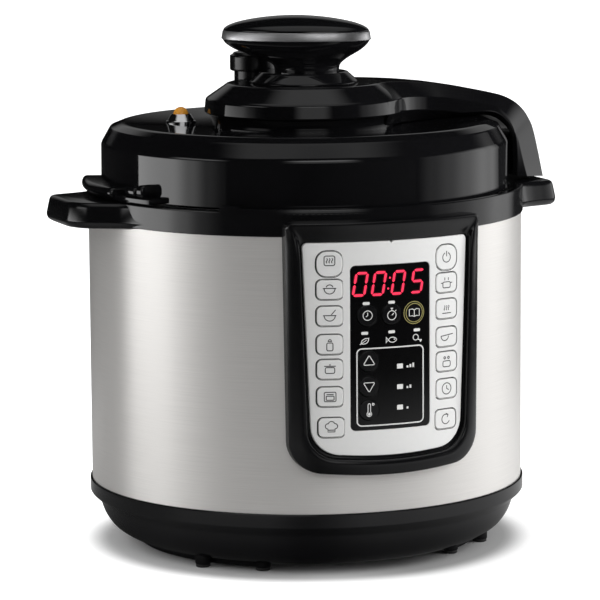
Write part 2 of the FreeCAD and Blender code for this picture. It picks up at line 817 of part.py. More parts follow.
def collector_pocket():
    half = CUP_W / 2 + RUN + POCKET_WALL
    front = SHELL_R + CUP_PROUD - CUP_DEPTH - RUN - POCKET_WALL
    low = cup_top() - CUP_H - POCKET_WALL
    high = cup_top() + CUP_HEADROOM + POCKET_WALL
    tub = box(-half, half, front, FAR, low, high)
    frame = box(-half - POCKET_LIP, half + POCKET_LIP, 0, FAR, low - POCKET_LIP, high + POCKET_LIP)
    frame = frame.common(ring(SHELL_R + FIT, SHELL_R + FIT + POCKET_LIP_T, 0, FAR))
    tub = tub.common(disc(SHELL_R + FIT + POCKET_LIP_T, 0, FAR))
    hollow = box(
        -half + POCKET_WALL, half - POCKET_WALL,
        front + POCKET_WALL, FAR,
        low + POCKET_WALL, high - POCKET_WALL,
    )
    return fused(tub, [frame]).cut(hollow)


# Control panel

def panel_post_spots():
    z_high = PANEL_TOP - CONTROL_DROP - PANEL_POST_W
    z_low = z_high - CONTROL_H + 4 * PANEL_POST_W
    return [(x, z) for x in (-PANEL_POST_X, PANEL_POST_X) for z in (z_low, z_high)]


def bezel():
    body = bezel_prism(0).common(front_shell(SHELL_R + FIT, BEZEL_R))
    body = body.cut(disc(COLLAR_R + FIT, SHELL_TOP, FAR))
    body = body.cut(face_prism(FIT).common(front_shell(FACE_IN - FIT, FAR)))
    body = body.cut(face_prism(-LEDGE_W))
    crest = [e for e in body.Edges if on_radius(e, BEZEL_R)]
    body = body.makeFillet(BEZEL_ROUND, crest)
    posts = []
    half = PANEL_POST_W / 2
    for x, z in panel_post_spots():
        post = box(x - half, x + half, -FAR, BOARD_Y, z - half, z + half)
        posts.append(post.common(disc(FACE_IN - FACE_T, 0, FAR)))
    body = fused(body, posts)
    for x, z in panel_post_spots():
        hole = Part.makeCylinder(PANEL_SCREW_R + FIT, PANEL_SCREW_L, Vector(x, BOARD_Y, z), Vector(0, -1, 0))
        body = body.cut(hole)
    return body


def on_radius(edge, radius):
    length = edge.LastParameter - edge.FirstParameter
    spots = [edge.valueAt(edge.FirstParameter + t * length) for t in (0, 0.5, 1)]
    return all(abs(math.hypot(p.x, p.y) - radius) < 0.01 for p in spots)


def window_prism(grow):
    plate = rounded_plate(WINDOW_HALF + grow, WINDOW_H / 2 + grow, WINDOW_CORNER + grow, FAR)
    plate.translate(Vector(0, 0, PANEL_TOP - WINDOW_DROP - WINDOW_H / 2))
    return plate


def key_table():
    """Key name to (x, z, half width, half height, corner)."""
    keys = {}
    for side, names in ((-1, LEFT_KEYS), (1, RIGHT_KEYS)):
        for row, name in enumerate(names):
            tall = TOP_KEY_H if row == 0 else KEY_H
            corner = TOP_KEY_CORNER if row == 0 else KEY_CORNER
            x = LAST_KEY_X if row == len(names) - 1 else KEY_X
            keys[name] = (side * x, PANEL_TOP - KEY_ROWS[row], KEY_W / 2, tall / 2, corner)
    for name, (x, drop) in ROUND_KEYS.items():
        keys[name] = (x, PANEL_TOP - drop, ROUND_KEY_R, ROUND_KEY_R, ROUND_KEY_R - 0.01)
    return keys


def key_azimuth(x):
    return math.degrees(math.asin(x / FACE_R))


def key_hole(x, z, half_w, half_h, corner):
    hole = rounded_plate(half_w + RUN, half_h + RUN, corner + RUN, FAR)
    hole.translate(Vector(0, 0, z))
    hole.rotate(Vector(0, 0, 0), AXIS, key_azimuth(x))
    return hole


def key_solid(x, z, half_w, half_h, corner):
    az = key_azimuth(x)
    back = FACE_IN - RUN
    cap = rounded_plate(half_w, half_h, corner, FAR)
    cap = cap.common(ring(back - KEY_FLANGE_T, FACE_R + KEY_PROUD, -FAR, FAR))
    flange = rounded_plate(half_w + KEY_FLANGE, half_h + KEY_FLANGE, corner + KEY_FLANGE, FAR)
    flange = flange.common(ring(back - KEY_FLANGE_T, back, -FAR, FAR))
    end = -(SWITCH_TOP_Y - SWITCH_GAP) / math.cos(math.radians(az))
    stem = Part.makeCylinder(KEY_STEM_R, back - end - KEY_FLANGE_T / 2, Vector(0, -end, 0), Vector(0, -1, 0))
    key = fused(cap, [flange, stem])
    key.translate(Vector(0, 0, z))
    key.rotate(Vector(0, 0, 0), AXIS, az)
    for guide in light_guides(RUN):
        if guide.BoundBox.intersect(key.BoundBox):
            key = key.cut(guide)
    return key


def fascia_plate():
    body = face_prism(0).common(front_shell(FACE_IN, FACE_R))
    body = body.cut(window_prism(FIT))
    for name in LEFT_KEYS + RIGHT_KEYS:
        body = body.cut(key_hole(*key_table()[name]))
    return body


def display_window():
    body = window_prism(0).common(front_shell(FACE_IN, FACE_R))
    for name in ROUND_KEYS:
        body = body.cut(key_hole(*key_table()[name]))
    return body


def display_module():
    front = -math.sqrt((FACE_IN - RUN) ** 2 - DIGITS_HALF ** 2)
    top = PANEL_TOP - DIGITS_DROP
    body = box(-DIGITS_HALF, DIGITS_HALF, front, BOARD_Y, top - DIGITS_H, top)
    return body


def light_guides(grow):
    guides = []
    for spots, w, h in ((LIGHT_SLITS, SLIT_W, SLIT_H), (LEVEL_LIGHTS, LEVEL_W, LEVEL_H)):
        for x, drop in spots:
            z = PANEL_TOP - drop
            half_w = w / 2 + grow
            half_h = h / 2 + grow
            guide = box(x - half_w, x + half_w, -FAR, BOARD_Y, z - half_h, z + half_h)
            guides.append(guide.common(disc(FACE_IN - FIT, 0, FAR)))
    return guides


def indicator_lights():
    return Part.makeCompound(light_guides(0))


def control_board():
    top = PANEL_TOP - CONTROL_DROP
    board = box(-CONTROL_HALF, CONTROL_HALF, BOARD_Y, BOARD_Y + BOARD_T, top - CONTROL_H, top)
    half = SWITCH_W / 2
    switches = []
    for x, z, _, _, _ in key_table().values():
        at_x = -(SWITCH_TOP_Y - SWITCH_GAP) * math.tan(math.radians(key_azimuth(x)))
        switches.append(box(at_x - half, at_x + half, SWITCH_TOP_Y, BOARD_Y, z - half, z + half))
    board = fused(board, switches)
    for x, z in panel_post_spots():
        board = board.cut(Part.makeCylinder(PANEL_SCREW_R + FIT, FAR, Vector(x, -FAR, z), Vector(0, 1, 0)))
    return board


def panel_screws():
    screws = []
    back = BOARD_Y + BOARD_T
    for x, z in panel_post_spots():
        head = Part.makeCylinder(PANEL_SCREW_HEAD_R, PANEL_SCREW_HEAD_H, Vector(x, back, z), Vector(0, 1, 0))
        length = BOARD_T + PANEL_SCREW_L - RUN
        shank = Part.makeCylinder(PANEL_SCREW_R, length, Vector(x, back, z), Vector(0, -1, 0))
        screws.append(fused(head, [shank]))
    return Part.makeCompound(screws)


# Lid

def lid_post_spots():
    return [polar(az, LID_POST_RAD, 0) for az in POST_AZ]


def lid_skin(grow):
    """Everything under the lid's outer surface, grown by a clearance."""
    ridge_z = LID_RIDGE_Z + grow
    top_z = LID_TOP_Z + grow
    return turned([
        (0, LID_Z),
        (LID_R + grow, LID_Z),
        (LID_R + grow, LID_EDGE_Z + grow / 2),
        (LID_SHOULDER_R + grow, LID_SHOULDER_Z + grow / 2),
        (LID_RIDGE_R + 0.5 * LID_RIDGE_IN + grow, ridge_z - 0.26 * LID_RIDGE_H, LID_RIDGE_R, ridge_z),
        (BOSS_FOOT_R, top_z),
        (0, top_z),
    ])


def lid_tab():
    """Side tab: sliding plate, rounded lip, catch and fin."""
    root = LID_R - LID_WALL / 2
    plate_top = LID_Z + TAB_PLATE_H
    plate = wedge(root, LID_R + TAB_PLATE_REACH, LID_Z, plate_top, TAB_FROM, TAB_TO)
    lip = wedge(root, LID_R + LIP_REACH, LID_Z, plate_top + LIP_H, TAB_FROM, LIP_TO)
    outer = [e for e in lip.Edges if on_radius(e, LID_R + LIP_REACH) and e.BoundBox.ZLength < 0.1]
    lip = lip.makeFillet(LIP_ROUND, outer)
    catch = wedge(root, LID_R + CATCH_REACH, plate_top, plate_top + CATCH_H, *CATCH_AZ)
    fin = wedge(root, LID_R + TAB_PLATE_REACH, plate_top, plate_top + FIN_H, *FIN_AZ)
    return [plate, lip, catch, fin]


def lid_cover():
    inner_shoulder_r = LID_SHOULDER_R - LID_WALL / 2
    spigot_in = PLATE_R - LID_SPIGOT_T
    cavity = turned([
        (0, PLATE_TOP),
        (spigot_in, PLATE_TOP),
        (spigot_in, LID_Z + LID_FLANGE_T),
        (LID_R - LID_WALL, LID_Z + LID_FLANGE_T),
        (LID_R - LID_WALL, LID_EDGE_Z - LID_WALL / 2),
        (inner_shoulder_r, LID_SHOULDER_Z - LID_WALL),
        (0, LID_TOP_Z - LID_WALL),
    ])
    spigot = disc(PLATE_R, PLATE_TOP, LID_Z)
    body = fused(lid_skin(0), [spigot]).cut(cavity)
    ceiling = LID_SHOULDER_Z - LID_WALL / 2
    posts = [disc(LID_POST_R, PLATE_TOP, ceiling, p.x, p.y) for p in lid_post_spots()]
    body = fused(body, posts + lid_tab())
    for spot in lid_post_spots():
        body = body.cut(disc(LID_SCREW_R + FIT, PLATE_TOP, PLATE_TOP + LID_SCREW_L, spot.x, spot.y))
    body = body.cut(disc(FLOAT_PIN_R + RUN, PLATE_TOP, FAR, FLOAT_X, FLOAT_Y))
    return body.cut(disc(PIPE_R + FIT, PLATE_TOP, FAR, VALVE_X, VALVE_Y))


def lid_plate():
    body = disc(PLATE_R, PLATE_Z, PLATE_TOP)
    skirt_z = POT_TOP + 2 * RUN
    extras = [
        ring(SKIRT_IN, PLATE_R, skirt_z, PLATE_Z),
        ring(GASKET_WALL_R - GASKET_WALL_T, GASKET_WALL_R, skirt_z, PLATE_Z),
    ]
    pitch = 360.0 / LUG_COUNT
    lug_top = PLATE_TOP - LID_LUG_DROP
    for i in range(LUG_COUNT):
        mid = i * pitch
        extras.append(wedge(
            PLATE_R - SKIRT_T / 2, RING_IN - LID_LUG_GAP, lug_top - LUG_T, lug_top,
            mid - LID_LUG_ARC / 2, mid + LID_LUG_ARC / 2,
        ))
    body = fused(body, extras)
    for spot in lid_post_spots():
        body = body.cut(disc(LID_SCREW_R + FIT, 0, FAR, spot.x, spot.y))
    body = body.cut(disc(FLOAT_PIN_R + RUN, 0, FAR, FLOAT_X, FLOAT_Y))
    return body.cut(disc(PIPE_R + FIT, 0, FAR, VALVE_X, VALVE_Y))


def sealing_gasket():
    r_in = GASKET_WALL_R + RUN
    r_out = SKIRT_IN - RUN
    low = POT_TOP
    high = PLATE_Z
    mid = (low + high) / 2
    lip = (r_out - r_in) / 3
    return turned([
        (r_in, low),
        (r_in + lip, low),
        (r_in + lip, mid),
        (r_out - lip, mid),
        (r_out - lip, low),
        (r_out, low),
        (r_out, high),
        (r_in, high),
    ])


def lid_screws():
    screws = []
    for spot in lid_post_spots():
        head = disc(LID_SCREW_HEAD_R, PLATE_Z - LID_SCREW_HEAD_H, PLATE_Z, spot.x, spot.y)
        shank = disc(LID_SCREW_R, PLATE_Z - LID_SCREW_HEAD_H, PLATE_TOP + LID_SCREW_L - RUN, spot.x, spot.y)
        screws.append(fused(head, [shank]))
    return Part.makeCompound(screws)


# Bridge and knob

def arm():
    """Arm from the boss over the lid's rim and down in front of the right ear."""
    top = BOSS_TOP_Z
    shoulder_z = top - ARM_SHOULDER_DROP
    knee_z = top - ARM_KNEE_DROP
    toe_z = RIM_TOP + LEG_GAP
    bulge_x = ARM_SHOULDER_X + 0.72 * (ARM_KNEE_X - ARM_SHOULDER_X)
    bulge_z = shoulder_z - 0.4 * (shoulder_z - knee_z)
    inner_x = LEG_TOE_X - LEG_T
    step_x = COLLAR_R + LEG_STEP
    bend_z = knee_z + LID_CHAMFER_H / 2
    low_z = top - ARM_SHOULDER_DROP - ARM_T * 0.7
    span = ARM_SHOULDER_X - ARM_FLAT_X
    bow_r = (span ** 2 + ARM_SHOULDER_DROP ** 2) / (2 * ARM_SHOULDER_DROP)
    bow_z = top - bow_r + math.sqrt(bow_r ** 2 - span ** 2 / 4)
    outline = [
        Vector(BOSS_CORE_R, 0, top),
        Vector(ARM_FLAT_X, 0, top),
        (Vector(ARM_FLAT_X + span / 2, 0, bow_z), Vector(ARM_SHOULDER_X, 0, shoulder_z)),
        (Vector(bulge_x, 0, bulge_z), Vector(ARM_KNEE_X, 0, knee_z)),
        Vector(LEG_TOE_X, 0, LID_Z),
        Vector(step_x, 0, LID_Z),
        Vector(step_x, 0, toe_z),
        Vector(inner_x, 0, toe_z),
        Vector(inner_x, 0, knee_z - LID_CHAMFER_H),
        (Vector(inner_x - 2.5, 0, bend_z - 2), Vector(inner_x - 9, 0, low_z)),
        Vector(BOSS_CORE_R, 0, low_z),
    ]
    block = Part.Face(wire_of(outline)).extrude(Vector(0, 2 * ARM_HALF, 0))
    block.translate(Vector(0, -ARM_HALF, 0))
    upper = []
    for edge in block.Edges:
        mid = edge.valueAt((edge.FirstParameter + edge.LastParameter) / 2)
        outside = mid.x > (LEG_TOE_X + inner_x) / 2 + 1 or mid.z > shoulder_z - 1
        on_side = abs(abs(mid.y) - ARM_HALF) < 0.01
        if on_side and outside and mid.x > BOSS_CORE_R + 1 and mid.z > toe_z + 1:
            upper.append(edge)
    return block.makeChamfer(ARM_CHAMFER, upper)


def lid_bridge():
    boss = turned([
        (0, LID_SHOULDER_Z),
        (BOSS_FOOT_R, LID_SHOULDER_Z),
        (BOSS_R - 1, BOSS_BAND_Z - 1),
        (BOSS_R, BOSS_BAND_Z),
        (BOSS_R, BOSS_SHOULDER_Z),
        (BOSS_TOP_R, BOSS_TOP_Z),
        (0, BOSS_TOP_Z),
    ])
    body = fused(boss, [arm()])
    body = body.cut(lid_skin(FIT))
    hollow = ring(BOSS_CORE_R, BOSS_TOP_R - BOSS_WALL / 2, 0, BOSS_TOP_Z - BOSS_WALL)
    body = body.cut(hollow.cut(disc(POCKET_R + LID_WALL, 0, FAR, VALVE_X, VALVE_Y)))
    body = body.cut(disc(POCKET_R, POCKET_FLOOR_Z, FAR, VALVE_X, VALVE_Y))
    return body.cut(disc(PIPE_R + FIT, 0, FAR, VALVE_X, VALVE_Y))


def knob_spot(offset, z):
    return polar(KNOB_AZ, offset, z)


def oval(a, b, offset, z):
    """Oval wire across the knob's long axis."""
    if a - b < 0.01:
        edge = Part.Circle(knob_spot(offset, z), AXIS, a).toShape()
        return Part.Wire(edge)
    edge = Part.Ellipse(Vector(0, 0, 0), a, b).toShape()
    edge.rotate(Vector(0, 0, 0), AXIS, KNOB_AZ - 90)
    edge.translate(knob_spot(offset, z))
    return Part.Wire(edge)


def oval_slab(a, b, offset, z0, z1):
    return Part.Face(oval(a, b, offset, z0)).extrude(Vector(0, 0, z1 - z0))


def knob_base():
    cone = turned([
        (0, BOSS_TOP_Z),
        (CONE_R, BOSS_TOP_Z),
        (CONE_TOP_R, CONE_TOP_Z),
        (0, CONE_TOP_Z),
    ])
    wires = [
        oval(NECK_R, NECK_R, NECK_OFFSET, CONE_TOP_Z - CONE_H / 4),
        oval(NECK_R + 0.6, NECK_R + 0.1, NECK_OFFSET, CONE_TOP_Z + NECK_H / 2),
    ]
    for share, a, b, offset in FLARE_STEPS:
        wires.append(oval(a, b, offset, FLARE_Z + FLARE_H * share))
    wires.append(oval(KNOB_A, KNOB_B, KNOB_OFFSET, TRIM_Z))
    head = Part.makeLoft(wires, True, False)
    pocket = disc(POCKET_R, POCKET_FLOOR_Z, CONE_TOP_Z + FIT, VALVE_X, VALVE_Y)
    return fused(cone, [head]).cut(pocket)


def knob_ring():
    outer = oval_slab(KNOB_A + TRIM_PROUD, KNOB_B + TRIM_PROUD, KNOB_OFFSET, TRIM_Z, CAP_Z)
    bore = oval_slab(KNOB_A - TRIM_T, KNOB_B - TRIM_T, KNOB_OFFSET, TRIM_Z, CAP_Z)
    return outer.cut(bore)


def knob_cap():
    a = KNOB_A - CAP_INSET
    b = KNOB_B - CAP_INSET
    rise = CAP_H - CAP_EDGE_H
    radius = (a ** 2 + rise ** 2) / (2 * rise)
    ball = Part.makeSphere(radius, Vector(0, 0, rise - radius))
    dome = ball.common(box(-FAR, FAR, -FAR, FAR, 0, FAR))
    squeeze = FreeCAD.Matrix()
    squeeze.scale(Vector(1, b / a, 1))
    dome = dome.transformGeometry(squeeze)
    dome.rotate(Vector(0, 0, 0), AXIS, KNOB_AZ - 90)
    dome.translate(knob_spot(KNOB_OFFSET, CAP_Z + CAP_EDGE_H))
    edge = oval_slab(a, b, KNOB_OFFSET, CAP_Z, CAP_Z + CAP_EDGE_H)
    plug = oval_slab(KNOB_A - TRIM_T - FIT, KNOB_B - TRIM_T - FIT, KNOB_OFFSET, TRIM_Z, CAP_Z)
    return fused(dome, [edge, plug])


# Float valve

def at_float(shape):
    shape.translate(Vector(FLOAT_X, FLOAT_Y, 0))
    return shape


def guard_seat_z():
    """Height of the lid's dished top under the middle of the guard."""
    share = (math.hypot(FLOAT_X, FLOAT_Y) - BOSS_FOOT_R) / (LID_RIDGE_R - BOSS_FOOT_R)
    return LID_TOP_Z + LID_DISH * share


def guard_floor_z():
    return guard_seat_z() + GUARD_FLANGE_T + 1


def float_guard():
    z0 = guard_seat_z() - LID_WALL / 2
    z1 = guard_seat_z() + GUARD_FLANGE_T
    floor = guard_floor_z()
    body = turned([
        (FLOAT_PIN_R + SLIDE, z0),
        (GUARD_R, z0),
        (GUARD_R, z1),
        (GUARD_LOW_R, z1),
        (GUARD_TOP_R, z1 + GUARD_H),
        (TIP_R + RUN, z1 + GUARD_H),
        (TIP_R + RUN, floor),
        (FLOAT_PIN_R + SLIDE, floor),
    ])
    return at_float(body).cut(lid_skin(FIT / 2))


def float_tip():
    floor = guard_floor_z()
    dome_z = floor + TIP_H - TIP_R
    body = turned([
        (0, floor + FIT),
        (TIP_R, floor + FIT),
        (TIP_R, dome_z),
        crown(TIP_R, dome_z, TIP_R),
    ])
    socket = disc(FLOAT_PIN_R + FIT / 2, 0, floor + TIP_H / 2)
    return at_float(body.cut(socket))


def float_foot_z():
    return PLATE_Z - FLOAT_TRAVEL - RUN - FLOAT_SEAL_T - FLOAT_FOOT_T


def float_pin():
    z0 = float_foot_z()
    foot = disc(FLOAT_FOOT_R, z0, z0 + FLOAT_FOOT_T)
    rod = disc(FLOAT_PIN_R, z0, guard_floor_z() + TIP_H / 2)
    return at_float(fused(foot, [rod]))


def float_seal():
    z0 = float_foot_z() + FLOAT_FOOT_T
    return at_float(ring(FLOAT_PIN_R + FIT / 2, FLOAT_FOOT_R, z0, z0 + FLOAT_SEAL_T))


# Pressure-limit valve

def at_valve(shape):
    shape.translate(Vector(VALVE_X, VALVE_Y, 0))
    return shape


def pressure_valve():
    z0 = POCKET_FLOOR_Z + RUN
    z1 = z0 + VALVE_BODY_H
    z2 = z1 + VALVE_CAP_H
    body = turned([
        (0, z0),
        (VALVE_BODY_R, z0),
        (VALVE_BODY_R, z1),
        (VALVE_R, z1),
        (VALVE_R, z2),
        (VALVE_TOP_R, z2),
        crown(VALVE_TOP_R, z2, VALVE_DOME_H),
    ])
    return at_valve(body.cut(disc(PIPE_R + SLIDE, 0, PIPE_TOP_Z)))


def steam_pipe():
    low = PLATE_Z - FILTER_H / 4
    body = disc(PIPE_R, low, PIPE_TOP_Z)
    nut = disc(PIPE_FLANGE_R, PLATE_TOP, PLATE_TOP + PIPE_FLANGE_T)
    return at_valve(fused(body, [nut]).cut(disc(PIPE_BORE, 0, FAR)))


def filter_cap():
    low = PLATE_Z - FILTER_H
    body = disc(FILTER_R, low, PLATE_Z).cut(disc(FILTER_R - FILTER_WALL, low + FILTER_WALL, PLATE_Z))
    half = FILTER_SLOT_W / 2
    for i in range(FILTER_SLOTS // 2):
        slot = box(-FILTER_R - 1, FILTER_R + 1, -half, half, low + 2 * FILTER_WALL, PLATE_Z - 2 * FILTER_WALL)
        slot.rotate(Vector(0, 0, 0), AXIS, i * 360.0 / FILTER_SLOTS)
        body = body.cut(slot)
    return at_valve(body)


PIECES = {
    "base_bowl": base_bowl,
    "rubber_feet": rubber_feet,
    "base_screws": base_screws,
    "outer_shell": outer_shell,
    "collar": collar,
    "inner_liner": inner_liner,
    "locking_ring": locking_ring,
    "inner_pot": inner_pot,
    "heating_plate": heating_plate,
    "heater_element": heater_element,
    "temperature_sensor": temperature_sensor,
    "sensor_spring": sensor_spring,
    "sensor_bracket": sensor_bracket,
    "power_board": power_board,
    "inlet_socket": inlet_socket,
    "inlet_pins": inlet_pins,
    "collector_pocket": collector_pocket,
    "condensation_collector": condensation_collector,
    "bezel": bezel,
    "fascia_plate": fascia_plate,
    "display_window": display_window,
    "display_module": display_module,
    "indicator_lights": indicator_lights,
    "control_board": control_board,
    "panel_screws": panel_screws,
    "lid_cover": lid_cover,
    "lid_plate": lid_plate,
    "sealing_gasket": sealing_gasket,
    "lid_screws": lid_screws,
    "lid_bridge": lid_bridge,
    "knob_base": knob_base,
    "knob_ring": knob_ring,
    "knob_cap": knob_cap,
    "float_guard": float_guard,
    "float_tip": float_tip,
    "float_pin": float_pin,
    "float_seal": float_seal,
    "pressure_valve": pressure_valve,
    "steam_pipe": steam_pipe,
    "filter_cap": filter_cap,
}


def main():
    os.makedirs("parts", exist_ok=True)
    shapes = {name: make() for name, make in PIECES.items()}
    for name, sizes in key_table().items():
        shapes["key_" + name] = key_solid(*sizes)
    for name, shape in shapes.items():
        shape.exportStep("parts/" + name + ".step")
        box_ = shape.BoundBox
        print(
            "%-24s solids %d valid %s volume %.0f  x %.1f %.1f  y %.1f %.1f  z %.1f %.1f" % (
                name, len(shape.Solids), shape.isValid(), shape.Volume,
                box_.XMin, box_.XMax, box_.YMin, box_.YMax, box_.ZMin, box_.ZMax,
            )
        )


main()
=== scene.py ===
import math

import bmesh
import bpy
from mathutils import Matrix, Vector
from mathutils.geometry import tessellate_polygon

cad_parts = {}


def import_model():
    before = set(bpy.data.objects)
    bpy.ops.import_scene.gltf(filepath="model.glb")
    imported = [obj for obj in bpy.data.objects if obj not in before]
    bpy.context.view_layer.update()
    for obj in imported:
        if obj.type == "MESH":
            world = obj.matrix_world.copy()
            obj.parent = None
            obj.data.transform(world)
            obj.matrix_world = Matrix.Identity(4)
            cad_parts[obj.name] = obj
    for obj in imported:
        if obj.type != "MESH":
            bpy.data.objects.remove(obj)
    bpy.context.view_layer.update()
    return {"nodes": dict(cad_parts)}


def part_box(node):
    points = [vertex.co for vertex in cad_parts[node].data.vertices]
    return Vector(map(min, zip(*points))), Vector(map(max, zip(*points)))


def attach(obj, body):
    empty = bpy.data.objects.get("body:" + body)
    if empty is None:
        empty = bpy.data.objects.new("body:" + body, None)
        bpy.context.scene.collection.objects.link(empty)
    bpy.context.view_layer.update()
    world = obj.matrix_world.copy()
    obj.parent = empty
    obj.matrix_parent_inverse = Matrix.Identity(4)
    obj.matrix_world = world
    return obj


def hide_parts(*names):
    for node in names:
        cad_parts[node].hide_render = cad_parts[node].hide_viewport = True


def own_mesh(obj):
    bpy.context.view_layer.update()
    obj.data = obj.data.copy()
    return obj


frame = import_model()
nodes = frame["nodes"]

MM = 0.001
TAU = 2 * math.pi

# Sizes in millimetres, heights above the table

SHELL_R = 140.0
SHELL_T = 0.8
SLEEVE_IN = 139.1  # radius of what slips inside the shell
BASE_H = 42.5
SHELL_TOP = 214.7
COLLAR_R = 141.0
COLLAR_IN = 133.5
COLLAR_TOP = 229.5
RIM_TOP = 231.5
RIM_W = 4.5
RIM_FROM = -43.0  # azimuths are in degrees from the front
RIM_TO = 65.0
BUMP_ARC = 4.5
BUMP_H = 1.4
EAR_REACH = 167.0
EAR_LOW = 213.0
SHELF_TOP = 206.0
SHELF_LOW = 203.0
LINER_R = 116.9
LID_R = 131.5
LID_Z = 230.1
LID_EDGE_Z = 260.5
LID_SHOULDER_R = 125.4
LID_SHOULDER_Z = 270.1
LID_TOP_Z = 270.5
LID_WALL = 3.0
PLATE_TOP = 225.4
PLATE_R = 124.6
BOSS_R = 64.5
BOSS_FOOT_R = 59.5
BOSS_BAND_Z = 279.0
BOSS_SHOULDER_Z = 287.6
BOSS_TOP_R = 49.5
BOSS_TOP_Z = 297.4
GROOVES = (46.8, 43.0)  # radii of the two rings sunk in the boss's top
ARM_HALF = 25.0
ARM_CHAMFER = 8.0
ARM_BAND = 8.5
ARM_LOW_HALF = 18.0
ARM_FILLET = 40.0
ARM_TOP_FILLET = 36.5
LEG_FROM_X = 128.0  # where the arm starts to bend down into its leg
LEG_BEND = 25.0
CONE_TOP_Z = 304.6
TRIM_Z = 325.1
CAP_Z = 330.7
CAP_EDGE_H = 3.2
CAP_TOP = 340.7
KNOB_AZ = 55.0
KNOB_A = 48.7
KNOB_B = 27.5
KNOB_SHIFT = -5.2
FLOAT_SPOT = (-72.8, 33.0)
GUARD_Z = 271.4
VALVE_SPOT = (-16.2, 49.3)
VALVE_Z = 287.4
POCKET_R = 17.0
POCKET_FLOOR_Z = 287.0
PANEL_TOP = 224.0
BEZEL_R = 148.5
BEZEL_BLEND = 6.0  # height over which the upper edge's section takes over
FACE_TOP = 211.5
FACE_R = 145.0
FACE_T = 1.6
FACE_PITCH = 1.5  # width of the flats that the panel's plates are bent into
WINDOW_HALF = 26.2
WINDOW_TOP = 197.0
WINDOW_LOW = 95.0
KEY_X = 38.7
LOW_KEY_X = 38.0
KEY_W = 15.8
KEY_H = 11.6
TALL_KEY_H = 15.2
KEY_PROUD = 0.4
KEY_GAP = 0.4
INK = 0.05  # height of printed marks
INK_ROOT = 0.2  # depth of the marks below the face that they are printed on

# Shapes

def outline(corners, steps=6, fill=0, hold=0.0):
    """Closed loop through corners (x, y, radius), arcs at the corners and fill points on each straight.

    With hold, two more points near the ends of each straight keep its shading flat.
    """
    arcs = []
    n = len(corners)
    for i, (x, y, radius) in enumerate(corners):
        here = Vector((x, y))
        back = (Vector(corners[i - 1][:2]) - here).normalized()
        ahead = (Vector(corners[(i + 1) % n][:2]) - here).normalized()
        half = math.acos(max(-1.0, min(1.0, back.dot(ahead)))) / 2
        if radius <= 0 or half > 1.569:
            arcs.append([here])
            continue
        setback = radius / math.tan(half)
        centre = here + (back + ahead).normalized() * (radius / math.sin(half))
        start = here + back * setback - centre
        end = here + ahead * setback - centre
        turn = start.angle_signed(end)
        arcs.append([centre + Matrix.Rotation(-turn * k / steps, 2) @ start for k in range(steps + 1)])
    loop = []
    for i, arc in enumerate(arcs):
        loop += arc
        ahead = arcs[(i + 1) % n][0]
        for k in range(fill):
            loop.append(arc[-1].lerp(ahead, (k + 1) / (fill + 1)))
        if hold:
            near = hold / max(3 * hold, (ahead - arc[-1]).length)
            loop += [arc[-1].lerp(ahead, near), arc[-1].lerp(ahead, 1 - near)]
    return [(p.x, p.y) for p in loop]


def held(profile, reach=0.5):
    """Closed profile with two more points near the ends of its long straights, to keep them flat."""
    out = []
    for i, point in enumerate(profile):
        out.append(point)
        here = Vector(point)
        ahead = Vector(profile[(i + 1) % len(profile)])
        length = (ahead - here).length
        if length > 5 * reach:
            out += [tuple(here.lerp(ahead, reach / length)), tuple(ahead.lerp(here, reach / length))]
    return out


def inset(loop, by):
    """Loop moved inwards by that much, or outwards for a negative amount."""
    n = len(loop)
    area = sum(loop[i - 1][0] * loop[i][1] - loop[i][0] * loop[i - 1][1] for i in range(n))
    side = 1 if area > 0 else -1
    out = []
    for i in range(n):
        before = Vector(loop[i]) - Vector(loop[i - 1])
        after = Vector(loop[(i + 1) % n]) - Vector(loop[i])
        a = Vector((-before.y, before.x)).normalized() * side
        b = Vector((-after.y, after.x)).normalized() * side
        move = (a + b) * (by / max(0.3, 1 + a.dot(b)))
        out.append((loop[i][0] + move.x, loop[i][1] + move.y))
    return out


def rect(x0, x1, y0, y1, radius=0.0):
    return outline([(x0, y0, radius), (x1, y0, radius), (x1, y1, radius), (x0, y1, radius)])


def circle(x, y, radius, n=40):
    return [(x + radius * math.cos(TAU * k / n), y + radius * math.sin(TAU * k / n)) for k in range(n)]


def arc(x, y, radius, start, end, n=16):
    """Open run of points, angles in degrees anticlockwise from +x."""
    angles = [math.radians(start + (end - start) * k / n) for k in range(n + 1)]
    return [(x + radius * math.cos(a), y + radius * math.sin(a)) for a in angles]


def stroke(points, width, closed=False):
    """Loops of a line of that width along the points: one loop, or two round a closed line."""
    if closed:
        return [inset(points, -width / 2), inset(points, width / 2)]
    left = []
    right = []
    for i, p in enumerate(points):
        a = Vector(points[max(i - 1, 0)])
        b = Vector(points[min(i + 1, len(points) - 1)])
        along = (b - a).normalized()
        across = Vector((-along.y, along.x)) * width / 2
        left.append((p[0] + across.x, p[1] + across.y))
        right.append((p[0] - across.x, p[1] - across.y))
    return [left + right[::-1]]


